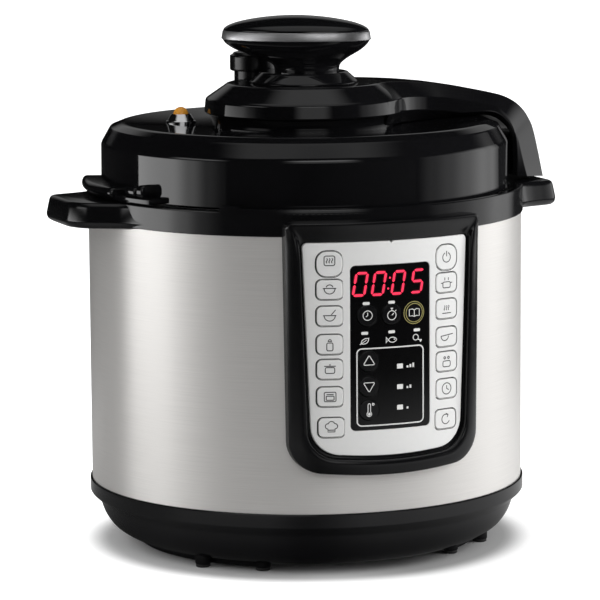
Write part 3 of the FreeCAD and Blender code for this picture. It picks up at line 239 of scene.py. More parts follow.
class Solid:
    """Vertices in millimetres, faces and the material number of each face."""

    def __init__(self):
        self.verts = []
        self.faces = []
        self.marks = []

    def add(self, verts, faces, mark=0):
        base = len(self.verts)
        self.verts += [tuple(v) for v in verts]
        self.faces += [[base + i for i in face] for face in faces]
        self.marks += [mark] * len(faces)

    def loft(self, rings, wrap=False):
        """Skin over rings of equally many points, capped at both ends unless it wraps round."""
        n = len(rings[0])
        verts = [p for ring in rings for p in ring]
        faces = []
        for k in range(len(rings) if wrap else len(rings) - 1):
            a = k * n
            b = (k + 1) % len(rings) * n
            for i in range(n):
                j = (i + 1) % n
                faces.append([a + i, a + j, b + j, b + i])
        if not wrap:
            faces.append(list(range(n))[::-1])
            faces.append([len(verts) - n + i for i in range(n)])
        self.add(verts, faces)

    def turn(self, profile, n=160, spot=(0, 0), az=None):
        """Closed profile of (radius, height) turned round the axis, or between two azimuths."""
        start, end = az or (0.0, 360.0)
        profile = held(profile)
        rings = []
        for k in range(n if az is None else n + 1):
            a = math.radians(start + (end - start) * k / n)
            rings.append([(spot[0] + r * math.sin(a), spot[1] - r * math.cos(a), z) for r, z in profile])
        self.loft(rings, wrap=az is None)

    def mesh(self, name, mats=()):
        """Blender mesh with doubled points and empty faces taken out."""
        mesh = bpy.data.meshes.new(name)
        mesh.from_pydata([(x * MM, y * MM, z * MM) for x, y, z in self.verts], [], self.faces)
        for mat in mats:
            mesh.materials.append(mat)
        mesh.polygons.foreach_set("material_index", self.marks)
        bm = bmesh.new()
        bm.from_mesh(mesh)
        bmesh.ops.remove_doubles(bm, verts=bm.verts[:], dist=2e-6)
        bmesh.ops.dissolve_degenerate(bm, edges=bm.edges[:], dist=1e-6)
        bmesh.ops.recalc_face_normals(bm, faces=bm.faces[:])
        bm.to_mesh(mesh)
        bm.free()
        return mesh


def plate(loops, low, high, edge=0.0, steps=3):
    """Flat plate of an outer loop and holes, upper edges rounded: vertices (x, y, height) and faces."""
    rings = [(loops, low)]
    for k in range(steps + 1 if edge else 1):
        a = math.pi / 2 * k / steps if edge else 0
        by = edge * (1 - math.cos(a))
        moved = [inset(loop, by if i == 0 else -by) for i, loop in enumerate(loops)]
        rings.append((moved, high - edge * (1 - math.sin(a))))
    verts = []
    faces = []
    total = sum(len(loop) for loop in loops)
    for ring, h in rings:
        verts += [(x, y, h) for loop in ring for x, y in loop]
    for k in range(len(rings) - 1):
        start = k * total
        for loop in loops:
            n = len(loop)
            for i in range(n):
                j = (i + 1) % n
                faces.append([start + i, start + j, start + total + j, start + total + i])
            start += n
    for ring, base in ((rings[0][0], 0), (rings[-1][0], len(verts) - total)):
        flat = [[Vector((x, y, 0)) for x, y in loop] for loop in ring]
        faces += [[base + i for i in tri] for tri in tessellate_polygon(flat)]
    return verts, faces


def bent(verts, faces, az):
    """Flat plate laid on the panel's cylinder: x stays, y is height, and the plate's own height is radial."""
    bm = bmesh.new()
    made = [bm.verts.new(v) for v in verts]
    for face in faces:
        if len(set(face)) > 2 and bm.faces.get([made[i] for i in face]) is None:
            bm.faces.new([made[i] for i in face])
    low = min(v[0] for v in verts)
    high = max(v[0] for v in verts)
    for k in range(int((high - low) / FACE_PITCH)):
        cut = (low + (k + 0.5) * FACE_PITCH, 0, 0)
        everything = bm.verts[:] + bm.edges[:] + bm.faces[:]
        bmesh.ops.bisect_plane(bm, geom=everything, plane_co=cut, plane_no=(1, 0, 0))
    bm.verts.index_update()
    turn = Matrix.Rotation(math.radians(az), 3, "Z")
    out = []
    for v in bm.verts:
        r = FACE_R + v.co.z
        out.append(tuple(turn @ Vector((v.co.x, -math.sqrt(r * r - v.co.x ** 2), v.co.y))))
    shaped = [[v.index for v in f.verts] for f in bm.faces]
    bm.free()
    return out, shaped


def linked(name, data):
    obj = bpy.data.objects.new(name, data)
    bpy.context.scene.collection.objects.link(obj)
    return obj


def piece(name, solid, body, slot, replaces=(), mats=None, sharp=35.0):
    """Mesh object from a Solid, on a CAD body; its material is the slot's unless others are given."""
    mesh = solid.mesh(name, mats or [MATERIALS[slot]])
    mesh.shade_smooth()
    mesh.set_sharp_from_angle(angle=math.radians(sharp))
    obj = linked(name, mesh)
    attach(obj, body)
    if replaces:
        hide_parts(*replaces)
    return obj


def smooth_run(points, per=8):
    """Catmull-Rom curve through rows of numbers."""
    out = []
    last = len(points) - 1
    for i in range(last):
        p0, p1, p2, p3 = (points[max(0, min(last, i + k))] for k in (-1, 0, 1, 2))
        for k in range(per):
            t = k / per
            row = []
            for a, b, c, d in zip(p0, p1, p2, p3):
                bend = 2 * a - 5 * b + 4 * c - d + t * (3 * (b - c) + d - a)
                row.append(b + 0.5 * t * (c - a + t * bend))
            out.append(tuple(row))
    out.append(tuple(points[-1]))
    return out


def dome(radius, low, rise, n=12):
    """Profile points of a sphere cap from its rim to the axis."""
    ball = (radius ** 2 + rise ** 2) / (2 * rise)
    top = math.asin(radius / ball)
    angles = [top * (1 - k / n) for k in range(n + 1)]
    return [(ball * math.sin(a), low + rise - ball + ball * math.cos(a)) for a in angles]


# Materials

def node(tree, kind, *inputs, out=0, **settings):
    """Output of a new shader node; its inputs are values, other nodes' outputs or None for the default."""
    made = tree.nodes.new("ShaderNode" + kind)
    for key, value in settings.items():
        setattr(made, key, value)
    for socket, value in zip(made.inputs, inputs):
        connect(tree, value, socket)
    return made.outputs[out]


def connect(tree, value, socket):
    if isinstance(value, bpy.types.NodeSocket):
        tree.links.new(value, socket)
    elif value is not None:
        socket.default_value = value


def noise(tree, scale, vector=None, detail=3.0):
    return node(tree, "TexNoise", vector or node(tree, "TexCoord", out="Object"), None, scale, detail)


def spread(tree, value, low, high):
    """The middle of a noise's range stretched from low to high."""
    return node(tree, "MapRange", value, 0.3, 0.7, low, high)


def tint(tree, value, dark, light):
    """Colour between two others; the node's colour sockets follow five that stay unused."""
    unused = [None] * 5
    return node(tree, "Mix", value, *unused, (*dark, 1), (*light, 1), out=2, data_type="RGBA")


MATERIALS = {}  # plain and brushed finishes by name


def new_material(name):
    mat = bpy.data.materials.new(name)
    mat.use_nodes = True
    return mat, mat.node_tree


def dressed(mat, **values):
    """Material with the sockets of its shader set; their names have underscores for blanks."""
    sockets = mat.node_tree.nodes["Principled BSDF"].inputs
    for key, value in values.items():
        connect(mat.node_tree, value, sockets[key.replace("_", " ")])
    return mat


def finish(name, colour, rough, metal=0.0, vary=0.1, grain=60.0, relief=0.0, **values):
    """Plain finish whose colour and roughness drift a little over the surface."""
    mat, tree = new_material(name)
    dark = tuple(c * (1 - vary) for c in colour)
    light = tuple(min(1.0, c * (1 + vary)) for c in colour)
    values["Base_Color"] = tint(tree, noise(tree, grain), dark, light)
    values["Roughness"] = spread(tree, noise(tree, grain * 3), rough * 0.85, rough * 1.15)
    if relief:
        values["Normal"] = node(tree, "Bump", relief, 0.0002, None, noise(tree, 2500.0))
    MATERIALS[name] = dressed(mat, Metallic=metal, **values)
    return MATERIALS[name]


def brushed(name, colour, rough, metal=1.0):
    """Sheet metal brushed round the object's axis."""
    mat, tree = new_material(name)
    place = node(tree, "TexCoord", out="Object")
    x, y, z = (node(tree, "SeparateXYZ", place, out=axis) for axis in "XYZ")
    turn = node(tree, "Math", node(tree, "Math", y, x, operation="ARCTAN2"), 3.0, operation="MULTIPLY")
    rise = node(tree, "Math", z, 2600.0, operation="MULTIPLY")
    fine = noise(tree, 1.0, node(tree, "CombineXYZ", turn, rise), 4.0)
    dark = tuple(c * 0.92 for c in colour)
    MATERIALS[name] = dressed(
        mat, Base_Color=tint(tree, spread(tree, fine, 0, 1), dark, colour), Metallic=metal,
        Roughness=spread(tree, fine, rough * 0.9, rough * 1.12), Anisotropic=0.7, Anisotropic_Rotation=0.25,
        Tangent=node(tree, "Tangent", direction_type="RADIAL", axis="Z"),
    )


def glowing(name, colour):
    """Lit segment or its haze."""
    mat, tree = new_material(name)
    drift = tint(tree, noise(tree, 90.0), tuple(c * 0.85 for c in colour), colour)
    return dressed(mat, Base_Color=drift, Emission_Color=drift, Emission_Strength=1.0, Roughness=0.4)


BLACK = (0.004, 0.004, 0.0045)
finish("black_gloss", BLACK, 0.05)
finish("black_satin", (0.012, 0.012, 0.012), 0.32, relief=0.05)
finish("foot_rubber", (0.02, 0.02, 0.02), 0.8, relief=0.1)
finish("screw_steel", (0.6, 0.59, 0.57), 0.3, 1.0)
brushed("brushed_shell", (0.88, 0.86, 0.835), 0.38, 0.6)
finish("liner_aluminium", (0.72, 0.73, 0.74), 0.38, 1.0)
brushed("pressed_steel", (0.66, 0.66, 0.66), 0.28)
finish("cast_aluminium", (0.6, 0.6, 0.61), 0.5, 1.0, relief=0.15)
finish("element_steel", (0.34, 0.33, 0.32), 0.45, 1.0)
finish("circuit_board", (0.02, 0.12, 0.05), 0.45, vary=0.35, grain=300.0)
finish("inlet_black", (0.012, 0.012, 0.012), 0.4, relief=0.05)
finish("pin_brass", (0.72, 0.58, 0.3), 0.25, 1.0)
finish("fascia_silver", (0.8, 0.8, 0.79), 0.42, 0.1, vary=0.02, grain=400.0)
finish("window_black", (0.002, 0.002, 0.0022), 0.1)
finish("display_dark", (0.01, 0.01, 0.01), 0.3)
finish("light_guide", (0.78, 0.78, 0.76), 0.3, vary=0.04)
finish("silicone_white", (0.72, 0.72, 0.7), 0.5, vary=0.05)
brushed("plate_steel", (0.68, 0.68, 0.68), 0.25)
finish("chrome_trim", (0.86, 0.86, 0.87), 0.06, 1.0, vary=0.03)
finish("pot_coating", (0.035, 0.035, 0.036), 0.42, vary=0.5, grain=900.0)
finish("float_orange", (0.95, 0.4, 0.05), 0.16)
finish("sensor_aluminium", (0.7, 0.7, 0.7), 0.35, 1.0)
finish("cup_smoke", (0.09, 0.09, 0.095), 0.12, Transmission_Weight=0.35)
finish("key_silver", (0.8, 0.8, 0.79), 0.42, 0.1, vary=0.02, grain=400.0)
finish("key_black", BLACK, 0.2)
# Dark print of the keys' pictures; also the painted shade line round each silver key.
DARK_INK_AND_GAP_SHADE = finish("dark_ink_and_gap_shade", (0.02, 0.02, 0.022), 0.5)
PALE_INK = finish("pale_ink", (0.72, 0.72, 0.71), 0.5, vary=0.04)
GOLD_INK = finish("gold_ink", (0.36, 0.33, 0.12), 0.4)
RED_GLOW = glowing("red_glow", (0.9, 0.03, 0.08))
RED_HAZE = glowing("red_haze", (0.05, 0.001, 0.004))
SATIN_TRIM = finish("satin_trim", (0.62, 0.62, 0.63), 0.42, 1.0, vary=0.03)
COLLAR_BLACK = finish("collar_black", BLACK, 0.14)
BEZEL_BLACK = finish("bezel_black", BLACK, 0.2, Specular_IOR_Level=0.4)


# Base, shell and collar

def base_bowl():
    solid = Solid()
    outer = [(0, 4.8), (110.5, 4.8), (113.5, 5.3)]
    outer += smooth_run([(113.5, 5.3), (121.0, 8.4), (127.5, 13.0), (132.3, 20.0), (135.0, 27.4)], 6)[1:]
    outer += [(135.2, 28.0), (135.8, 28.6), (140.6, 33.0), (141.3, 33.9), (141.3, 41.7), (140.6, 42.4)]
    outer += [(SLEEVE_IN, BASE_H), (SLEEVE_IN, 50.5), (136.7, 50.5), (136.7, 42.0), (132.0, 28.0)]
    outer += [(124.5, 15.0), (111.0, 7.8), (0, 7.8)]
    solid.turn(outer, n=200)
    rib = [(107, 2.4), (107.4, 2.0), (110.6, 2.0), (111, 2.4), (111, 6.0), (107, 6.0)]
    for start in (36, 216):
        solid.turn(rib, n=40, az=(start, start + 108))
    stub = [(0, 2.0), (4.6, 2.0), (5.0, 2.4), (5.0, 8.0), (0, 8.0)]
    for r, azimuths in ((115, (-56, 56, 124, -124)), (109, (36, 144, 216, 324))):
        for az in azimuths:
            a = math.radians(az)
            solid.turn(stub, n=24, spot=(r * math.sin(a), -r * math.cos(a)))
    piece("base_bowl_shape", solid, "housing", "black_gloss", ["base_bowl"])


def sheet(verts, faces, move):
    """Faces made into thin sheet: a second layer of moved vertices, and walls round the open edges."""
    n = len(verts)
    runs = {(face[i - 1], face[i]) for face in faces for i in range(len(face))}
    layers = faces + [[n + i for i in reversed(face)] for face in faces]
    walls = [[b, a, n + a, n + b] for a, b in sorted(runs) if (b, a) not in runs]
    return verts + [move(*v) for v in verts], layers + walls


# Openings of the shell: side in y, half width, lower and upper edge
SHELL_OPENINGS = ((-1, 52.0, 76.0, 206.0), (1, 17.0, 50.0, 78.0), (1, 28.0, 146.0, 203.5))


def in_opening(x, y, z):
    for side, half, low, high in SHELL_OPENINGS:
        if y * side > 0 and abs(x) < half and low < z < high:
            return True
    return False


def outer_shell():
    """Steel sleeve with the openings of the panel, the inlet and the collector's pocket left out."""
    n = 240
    rows = sorted({BASE_H, 110.0, SHELL_TOP}.union(*[opening[2:] for opening in SHELL_OPENINGS]))
    ring = [(SHELL_R * math.sin(TAU * k / n), -SHELL_R * math.cos(TAU * k / n)) for k in range(n)]
    verts = [(x, y, z) for z in rows for x, y in ring]
    faces = []
    for row in range(len(rows) - 1):
        z = (rows[row] + rows[row + 1]) / 2
        for k in range(n):
            j = (k + 1) % n
            if not in_opening((ring[k][0] + ring[j][0]) / 2, ring[k][1], z):
                faces.append([row * n + k, row * n + j, row * n + n + j, row * n + n + k])
    inner = 1 - SHELL_T / SHELL_R
    solid = Solid()
    solid.add(*sheet(verts, faces, lambda x, y, z: (x * inner, y * inner, z)))
    piece("outer_shell_sleeve", solid, "housing", "brushed_shell", ["outer_shell"])


def ear_outline(side):
    """Ear seen from above: its leading corner is tight and its trailing corner round."""
    root = [(121.0, -72.2), (126.1, -63.0), (130.5, -53.6), (134.0, -46.4)]
    lead = root + [(138.6, -41.6), (145.0, -38.4), (152.0, -36.2), (158.5, -34.4), (163.4, -31.9)]
    lead += [(166.3, -27.4), (EAR_REACH, -20.0)]
    trail = [(EAR_REACH, 6.0), (166.4, 14.0), (163.6, 21.5), (158.6, 27.8), (152.0, 32.4), (145.0, 36.4)]
    trail += [(138.8, 40.8)] + [(x, -y) for x, y in reversed(root)]
    loop = [(108, -72)] + smooth_run(lead, 5) + smooth_run(trail, 5) + [(108, 72)]
    return [(side * x, side * y) for x, y in loop]


def ear(solid, side):
    """Grip ear, widest a little above its underside."""
    loop = ear_outline(side)
    steps = [(0.0, 5.0), (0.4, 2.9), (1.4, 1.3), (2.8, 0.4), (4.6, 0.0), (5.2, 0.05)]
    steps += [(12.6, 1.6), (13.2, 1.75), (14.6, 2.2), (15.6, 3.0), (16.1, 3.9), (16.3, 5.0)]
    solid.loft([[(x, y, EAR_LOW + up) for x, y in inset(loop, by)] for up, by in steps])


def collar():
    solid = Solid()
    solid.turn([
        (COLLAR_R - 0.3, SHELL_TOP), (COLLAR_R, SHELL_TOP + 0.4), (COLLAR_R, COLLAR_TOP - 0.8),
        (COLLAR_R - 0.25, COLLAR_TOP - 0.2), (COLLAR_R - 0.8, COLLAR_TOP), (COLLAR_IN + 0.4, COLLAR_TOP),
        (COLLAR_IN, COLLAR_TOP - 0.4), (COLLAR_IN, SHELF_TOP), (LINER_R, SHELF_TOP), (LINER_R, SHELF_LOW),
        (SLEEVE_IN, SHELF_LOW), (SLEEVE_IN, SHELL_TOP),
    ], n=240)
    for turn in (0, 180):
        solid.turn(rim_profile(RIM_TOP), n=70, az=(RIM_FROM + turn, RIM_TO + turn))
    solid.turn(rim_profile(RIM_TOP + BUMP_H), n=6, az=(RIM_FROM, RIM_FROM + BUMP_ARC))
    for side in (-1, 1):
        ear(solid, side)
    piece("collar_ring", solid, "housing", "black_gloss", ["collar"], [COLLAR_BLACK])


def rim_profile(top):
    r0 = COLLAR_R - RIM_W
    low = COLLAR_TOP - 1
    return [(r0, low), (COLLAR_R, low), (COLLAR_R, top - 0.7), (COLLAR_R - 0.25, top - 0.2),
            (COLLAR_R - 0.8, top), (r0 + 0.3, top), (r0, top - 0.3)]


# Lid, bridge and knob

# Blocks of the lid's tab: reach past the rim, lower and upper edge, edge radius, azimuths
TAB_BLOCKS = (
    (9.5, LID_Z, LID_Z + 3.5, 0.5, -112.0, -64.0),
    (12.5, LID_Z + 0.9, 238.0, 3.3, -112.0, -79.0),
    (7.5, LID_Z + 3, 239.6, 2.6, -75.5, -71.0),
    (9.5, LID_Z + 3, 241.6, 3.4, -69.5, -67.0),
)


def lid_cover():
    solid = Solid()
    side = [(LID_R - 0.6, LID_Z), (LID_R, LID_Z + 0.6), (LID_R - 0.2, LID_EDGE_Z - 1.6)]
    side += [(LID_R - 0.45, LID_EDGE_Z - 0.5), (LID_R - 1.0, LID_EDGE_Z + 0.8)]
    side += [(LID_SHOULDER_R + 0.4, LID_SHOULDER_Z - 0.6), (LID_SHOULDER_R - 0.1, LID_SHOULDER_Z + 0.1)]
    top = [(119.6, 272.5)] + smooth_run([
        (118.0, 272.95), (116.0, 273.1), (112.0, 272.9), (102.0, 272.4), (88.0, 271.7), (74.0, 271.0),
        (60.0, 270.6), (44.0, LID_TOP_Z),
    ], 4)
    in_r = LID_R - LID_WALL
    seat_r = PLATE_R - 6.4
    seat_z = LID_Z + 3.4
    inner = [(0, LID_TOP_Z), (0, LID_TOP_Z - LID_WALL), (LID_SHOULDER_R - 1.5, LID_SHOULDER_Z - LID_WALL),
             (in_r, LID_EDGE_Z - 1.5), (in_r, seat_z), (seat_r, seat_z), (seat_r, PLATE_TOP),
             (PLATE_R, PLATE_TOP), (PLATE_R, LID_Z)]
    solid.turn(side + top + inner, n=240)
    for block in TAB_BLOCKS:
        rim_block(solid, *block)
    piece("lid_cover_shape", solid, "lid", "black_gloss", ["lid_cover"], sharp=28)


def rim_block(solid, reach, low, high, edge, start, end):
    """Block along the lid's rim whose ends are rounded."""
    root = LID_R - 1.5
    tip = LID_R + reach
    run = math.radians(end - start) * tip
    round_end = 1.3
    ends = [(0.0, round_end), (0.25, 0.7), (0.7, 0.25), (round_end, 0.0)]
    spots = ends + [(round_end + (run - 2 * round_end) * k / 16, 0.0) for k in range(1, 16)]
    spots += [(run - along, drop) for along, drop in reversed(ends)]
    rings = []
    for along, drop in spots:
        a = math.radians(start) + along / tip
        out = tip - drop
        top = high - drop
        profile = outline([(root, low, 0), (out, low, edge), (out, top, edge), (root, top, 0)], 5)
        rings.append([(r * math.sin(a), -r * math.cos(a), z) for r, z in profile])
    solid.loft(rings)


def flare(x, circle_r, half, fillet):
    """Half width of an arm that grows out of a round boss with a fillet on each side."""
    middle_y = half + fillet
    middle_x = math.sqrt((circle_r + fillet) ** 2 - middle_y ** 2)
    meet_x = middle_x * circle_r / (circle_r + fillet)
    if x < meet_x:
        return math.sqrt(circle_r ** 2 - x ** 2)
    if x > middle_x:
        return half
    return middle_y - math.sqrt(fillet ** 2 - (middle_x - x) ** 2)


def arm_rings():
    """Cross-sections of the arm from the boss over the rim and down to its toe."""
    top = BOSS_TOP_Z - 0.05
    upper = smooth_run([
        (37.0, top), (43.0, top), (50.0, top), (57.0, 297.1), (64.0, 296.7), (72.0, 296.0), (81.0, 295.0),
        (90.0, 293.9), (112.0, 290.2), (126.0, 287.1), (134.0, 284.8), (141.8, 281.0), (148.2, 275.9),
        (153.0, 269.6), (156.4, 262.2), (160.2, 247.0), (163.8, 230.4),
    ], 4)
    lower = smooth_run([
        (37.0, 271.2), (43.0, 271.2), (50.0, 271.2), (57.0, 271.2), (64.0, 271.2), (72.0, 271.3),
        (81.0, 271.6), (90.0, 272.0), (108.0, 272.8), (120.0, 273.0), (126.5, 271.0), (131.0, 267.6),
        (134.4, 263.9), (136.4, 260.0), (137.4, 255.0), (137.9, 244.0), (138.0, 233.1),
    ], 4)
    boss_edge = BOSS_TOP_Z - BOSS_SHOULDER_Z
    rings = []
    for (xt, zt), (xb, zb) in zip(upper, lower):
        down = Vector((xb - xt, zb - zt))
        depth = down.length
        down.normalize()
        leg = max(0.0, min(1.0, (xt - LEG_FROM_X) / LEG_BEND))
        edge = max(ARM_CHAMFER, min(boss_edge, boss_edge - (xt - 40) * 0.036)) + 8.5 * leg
        band = min(edge + ARM_BAND, depth - 3)
        band += leg * (depth - 2 - band)
        wide = flare(xt, BOSS_R, ARM_HALF, ARM_FILLET)
        narrow = flare(xt, BOSS_TOP_R, ARM_HALF - ARM_CHAMFER, ARM_TOP_FILLET) - 3 * leg
        low_half = wide - ARM_HALF + ARM_LOW_HALF + leg * (ARM_HALF - 2 - ARM_LOW_HALF)
        half = [(narrow, 0, 1.2), (wide - 0.85, edge, 1.2), (wide - 0.1, band, 1.0), (low_half, depth, 0.8)]
        section = outline([(-y, h, r) for y, h, r in half] + half[::-1], 4, hold=0.5)
        rings.append([(xt + down.x * h, y, zt + down.y * h) for y, h in section])
    return rings


def lid_bridge():
    """Boss with the valve's pocket, and the arm with the sector of the boss that it grows out of."""
    foot = (BOSS_FOOT_R, 272.6)
    profile = [(0, LID_TOP_Z), (BOSS_FOOT_R, LID_TOP_Z)]
    profile += smooth_run([foot, (BOSS_FOOT_R + 0.9, 275.4), (BOSS_R - 2.6, 277.7)], 5)
    profile += [
        (BOSS_R - 0.5, BOSS_BAND_Z - 0.3), (BOSS_R, BOSS_BAND_Z + 0.5),
        (BOSS_R - 0.75, BOSS_SHOULDER_Z - 0.9), (BOSS_R - 1.0, BOSS_SHOULDER_Z - 0.1),
        (BOSS_R - 1.8, BOSS_SHOULDER_Z + 0.75), (BOSS_TOP_R + 1.6, BOSS_TOP_Z - 1.05),
        (BOSS_TOP_R + 0.8, BOSS_TOP_Z - 0.4), (BOSS_TOP_R - 0.4, BOSS_TOP_Z),
    ]
    top = []
    for r in GROOVES:
        top += [(r + 0.5, BOSS_TOP_Z), (r + 0.2, BOSS_TOP_Z - 0.5), (r - 0.2, BOSS_TOP_Z - 0.5)]
        top += [(r - 0.5, BOSS_TOP_Z)]
    top += [(0, BOSS_TOP_Z)]
    root = math.degrees(math.asin((ARM_HALF + ARM_FILLET) / (BOSS_R + ARM_FILLET)))
    boss = Solid()
    boss.turn(profile + top, n=180, az=(90 + root, 450 - root))
    obj = piece("lid_bridge_boss", boss, "lid", "black_gloss", ["lid_bridge"], sharp=28)
    well = Solid()
    above = BOSS_TOP_Z + 12.6
    walls = [(0, POCKET_FLOOR_Z), (POCKET_R, POCKET_FLOOR_Z), (POCKET_R, above), (0, above)]
    well.turn(walls, n=96, spot=VALVE_SPOT)
    cut_by(obj, well)
    arm = Solid()
    arm.loft(arm_rings())
    middle_r = BOSS_TOP_R - 0.7
    middle = [(0, LID_TOP_Z), (middle_r, LID_TOP_Z), (middle_r, BOSS_TOP_Z)]
    arm.turn(middle + top, n=50, az=(90 - root, 90 + root))
    piece("lid_bridge_arm", arm, "lid", "black_gloss", ["lid_bridge"], sharp=28)


def cut_by(obj, solid):
    """Takes a Solid out of an object's mesh."""
    tool = linked("tool", solid.mesh("tool"))
    cut = obj.modifiers.new("cut", "BOOLEAN")
    cut.operation = "DIFFERENCE"
    cut.solver = "EXACT"
    cut.object = tool
    bpy.context.view_layer.update()
    shaped = bpy.data.meshes.new_from_object(obj.evaluated_get(bpy.context.evaluated_depsgraph_get()))
    obj.modifiers.remove(cut)
    obj.data = shaped
    bpy.data.objects.remove(tool)


def knob_oval(a, b, shift, z, n=96):
    """Oval ring of the knob; a is half its long axis, and shift moves it along that axis."""
    along = Vector((math.sin(math.radians(KNOB_AZ)), -math.cos(math.radians(KNOB_AZ))))
    across = Vector((-along.y, along.x))
    ring = []
    for k in range(n):
        t = TAU * k / n
        p = along * (shift + a * math.cos(t)) + across * (b * math.sin(t))
        ring.append((p.x, p.y, z))
    return ring


def knob():
    solid = Solid()
    cone = [(0, BOSS_TOP_Z - 0.5), (34.2, BOSS_TOP_Z - 0.5), (34.9, BOSS_TOP_Z + 0.4)]
    cone += [(34.7, BOSS_TOP_Z + 1.2), (29.2, CONE_TOP_Z - 1.2), (28.4, CONE_TOP_Z - 0.35)]
    cone += [(27.2, CONE_TOP_Z), (0, CONE_TOP_Z)]
    solid.turn(cone, n=140)
    rows = smooth_run([
        (20.6, 20.6, 1.9, 302.0), (20.8, 20.8, 1.9, 305.5), (21.7, 21.2, 1.7, 308.8),
        (25.4, 22.4, 0.6, 311.6), (32.4, 24.2, -2.0, 314.6), (40.6, 25.8, -4.0, 318.2),
        (46.2, 27.0, -5.0, 322.0), (48.5, 27.4, KNOB_SHIFT, TRIM_Z),
    ], 6)
    solid.loft([knob_oval(*row) for row in rows])
    piece("knob_base_shape", solid, "lid", "black_gloss", ["knob_base"])
    trim = Solid()
    levels = [(0.0, TRIM_Z), (0.35, TRIM_Z + 0.2), (0.45, TRIM_Z + 0.6), (-0.3, CAP_Z - 0.5)]
    levels += [(-0.5, CAP_Z - 0.15), (-0.9, CAP_Z), (-2.2, CAP_Z), (-2.2, TRIM_Z)]
    trim.loft([knob_oval(KNOB_A + d, KNOB_B + d, KNOB_SHIFT, z, 160) for d, z in levels], wrap=True)
    piece("knob_ring_shape", trim, "lid", "chrome_trim", ["knob_ring"], [SATIN_TRIM])
    cap = Solid()
    rings = [knob_oval(KNOB_A - 2.4, KNOB_B - 2.4, KNOB_SHIFT, z) for z in (TRIM_Z, CAP_Z - 0.2)]
    rings.append(knob_oval(KNOB_A - 1.1, KNOB_B - 1.1, KNOB_SHIFT, CAP_Z + 0.05))
    rise = CAP_TOP - CAP_Z - CAP_EDGE_H
    steps = 25
    for k in range(steps):
        share = math.cos(math.pi / 2 * k / steps)
        z = CAP_Z + 0.1 + 0.98 * (CAP_EDGE_H * math.sqrt(1 - share ** 10) + rise * (1 - share ** 2))
        rings.append(knob_oval((KNOB_A - 0.8) * share, (KNOB_B - 0.8) * share, KNOB_SHIFT, z))
    cap.loft(rings)
    piece("knob_cap_shape", cap, "lid", "black_gloss", ["knob_cap"])


def float_valve():
    guard = Solid()
    z = GUARD_Z
    guard.turn([
        (5.6, z - 1.4), (9.3, z - 1.4), (9.7, z - 1.0), (9.7, z + 1.1), (9.4, z + 1.5), (9.0, z + 1.6),
        (8.8, z + 2.0), (6.7, z + 5.4), (6.35, z + 5.75), (5.8, z + 5.75), (5.6, z + 5.5),
    ], n=72, spot=FLOAT_SPOT)
    piece("float_guard_shape", guard, "lid", "chrome_trim", ["float_guard"])
    tip = Solid()
    tip_r = 4.95
    tip.turn([(0, z + 2.8), (tip_r, z + 2.8)] + dome(tip_r, z + 5.2, tip_r), n=48, spot=FLOAT_SPOT)
    piece("float_tip_shape", tip, "float", "float_orange", ["float_tip"])


def pressure_valve():
    solid = Solid()
    body = [(0, VALVE_Z), (12.4, VALVE_Z), (12.8, VALVE_Z + 0.4), (12.8, 302.0), (14.6, 302.2), (15.4, 302.7),
            (15.6, 303.5), (15.6, 311.6), (15.3, 312.3), (14.6, 312.6), (14.0, 312.9), (13.5, 313.6)]
    solid.turn(body + dome(12.9, 314.2, 1.2, 8), n=96, spot=VALVE_SPOT)
    piece("pressure_valve_knob", solid, "valve", "black_satin", ["pressure_valve"], [BEZEL_BLACK])


# Control panel

def shield(top_half, low_half, z_top, height, sag, corner, top_corner, bow):
    """Outline with a straight top, sides that draw in a little and a lower edge that sags."""
    z_low = z_top - height
    return outline([
        (-top_half, z_top, top_corner), (-low_half, z_low, corner), (0, z_low - sag, bow),
        (low_half, z_low, corner), (top_half, z_top, top_corner),
    ], steps=10, fill=10)


def face_loop(grow=0.0):
    """Outline of the silver plate, or one that lies outside it."""
    return shield(54.4 + grow, 49.4 + grow, FACE_TOP + grow, 130 + 2 * grow, 3.8, 18 + grow, 3 + grow, 390)


# Sections of the bezel at its sides and at its top: share of the way inwards, radius
BEZEL_SIDE = (
    (0.0, 141.0), (0.0, 145.6), (0.02, 146.1), (0.1, 146.8), (0.2, 147.4), (0.31, 147.9), (0.43, 148.3),
    (0.58, BEZEL_R), (0.71, 148.35), (0.77, 147.8), (0.81, 146.8), (0.84, 145.4), (0.86, 144.4),
    (0.9, 144.1), (1.0, 144.1), (1.0, 141.0),
)
BEZEL_UPPER = (
    (0.0, 141.0), (0.0, 147.6), (0.01, 148.1), (0.025, 148.3), (0.04, 148.4), (0.06, BEZEL_R), (0.16, 148.3),
    (0.34, 147.7), (0.5, 146.8), (0.66, 145.9), (0.76, 145.2), (0.84, 144.7), (0.9, 144.4),
    (0.95, 144.2), (1.0, 144.1), (1.0, 141.0),
)


def bezel():
    outer = shield(64.2, 62.5, PANEL_TOP, 153.6, 5, 20, 4, 430)
    inner = face_loop(0.3)
    rings = []
    for (side_t, side_r), (upper_t, upper_r) in zip(BEZEL_SIDE, BEZEL_UPPER):
        ring = []
        for (xo, zo), (xi, zi) in zip(outer, inner):
            w = max(0.0, min(1.0, (zo - PANEL_TOP + BEZEL_BLEND) / BEZEL_BLEND))
            w = w * w * (3 - 2 * w)
            t = side_t + (upper_t - side_t) * w
            r = side_r + (upper_r - side_r) * w
            x = xo + (xi - xo) * t
            ring.append((x, -math.sqrt(r * r - x * x), zo + (zi - zo) * t))
        rings.append(ring)
    solid = Solid()
    solid.loft(rings, wrap=True)
    piece("bezel_frame", solid, "housing", "black_satin", ["bezel"], [BEZEL_BLACK], sharp=50)


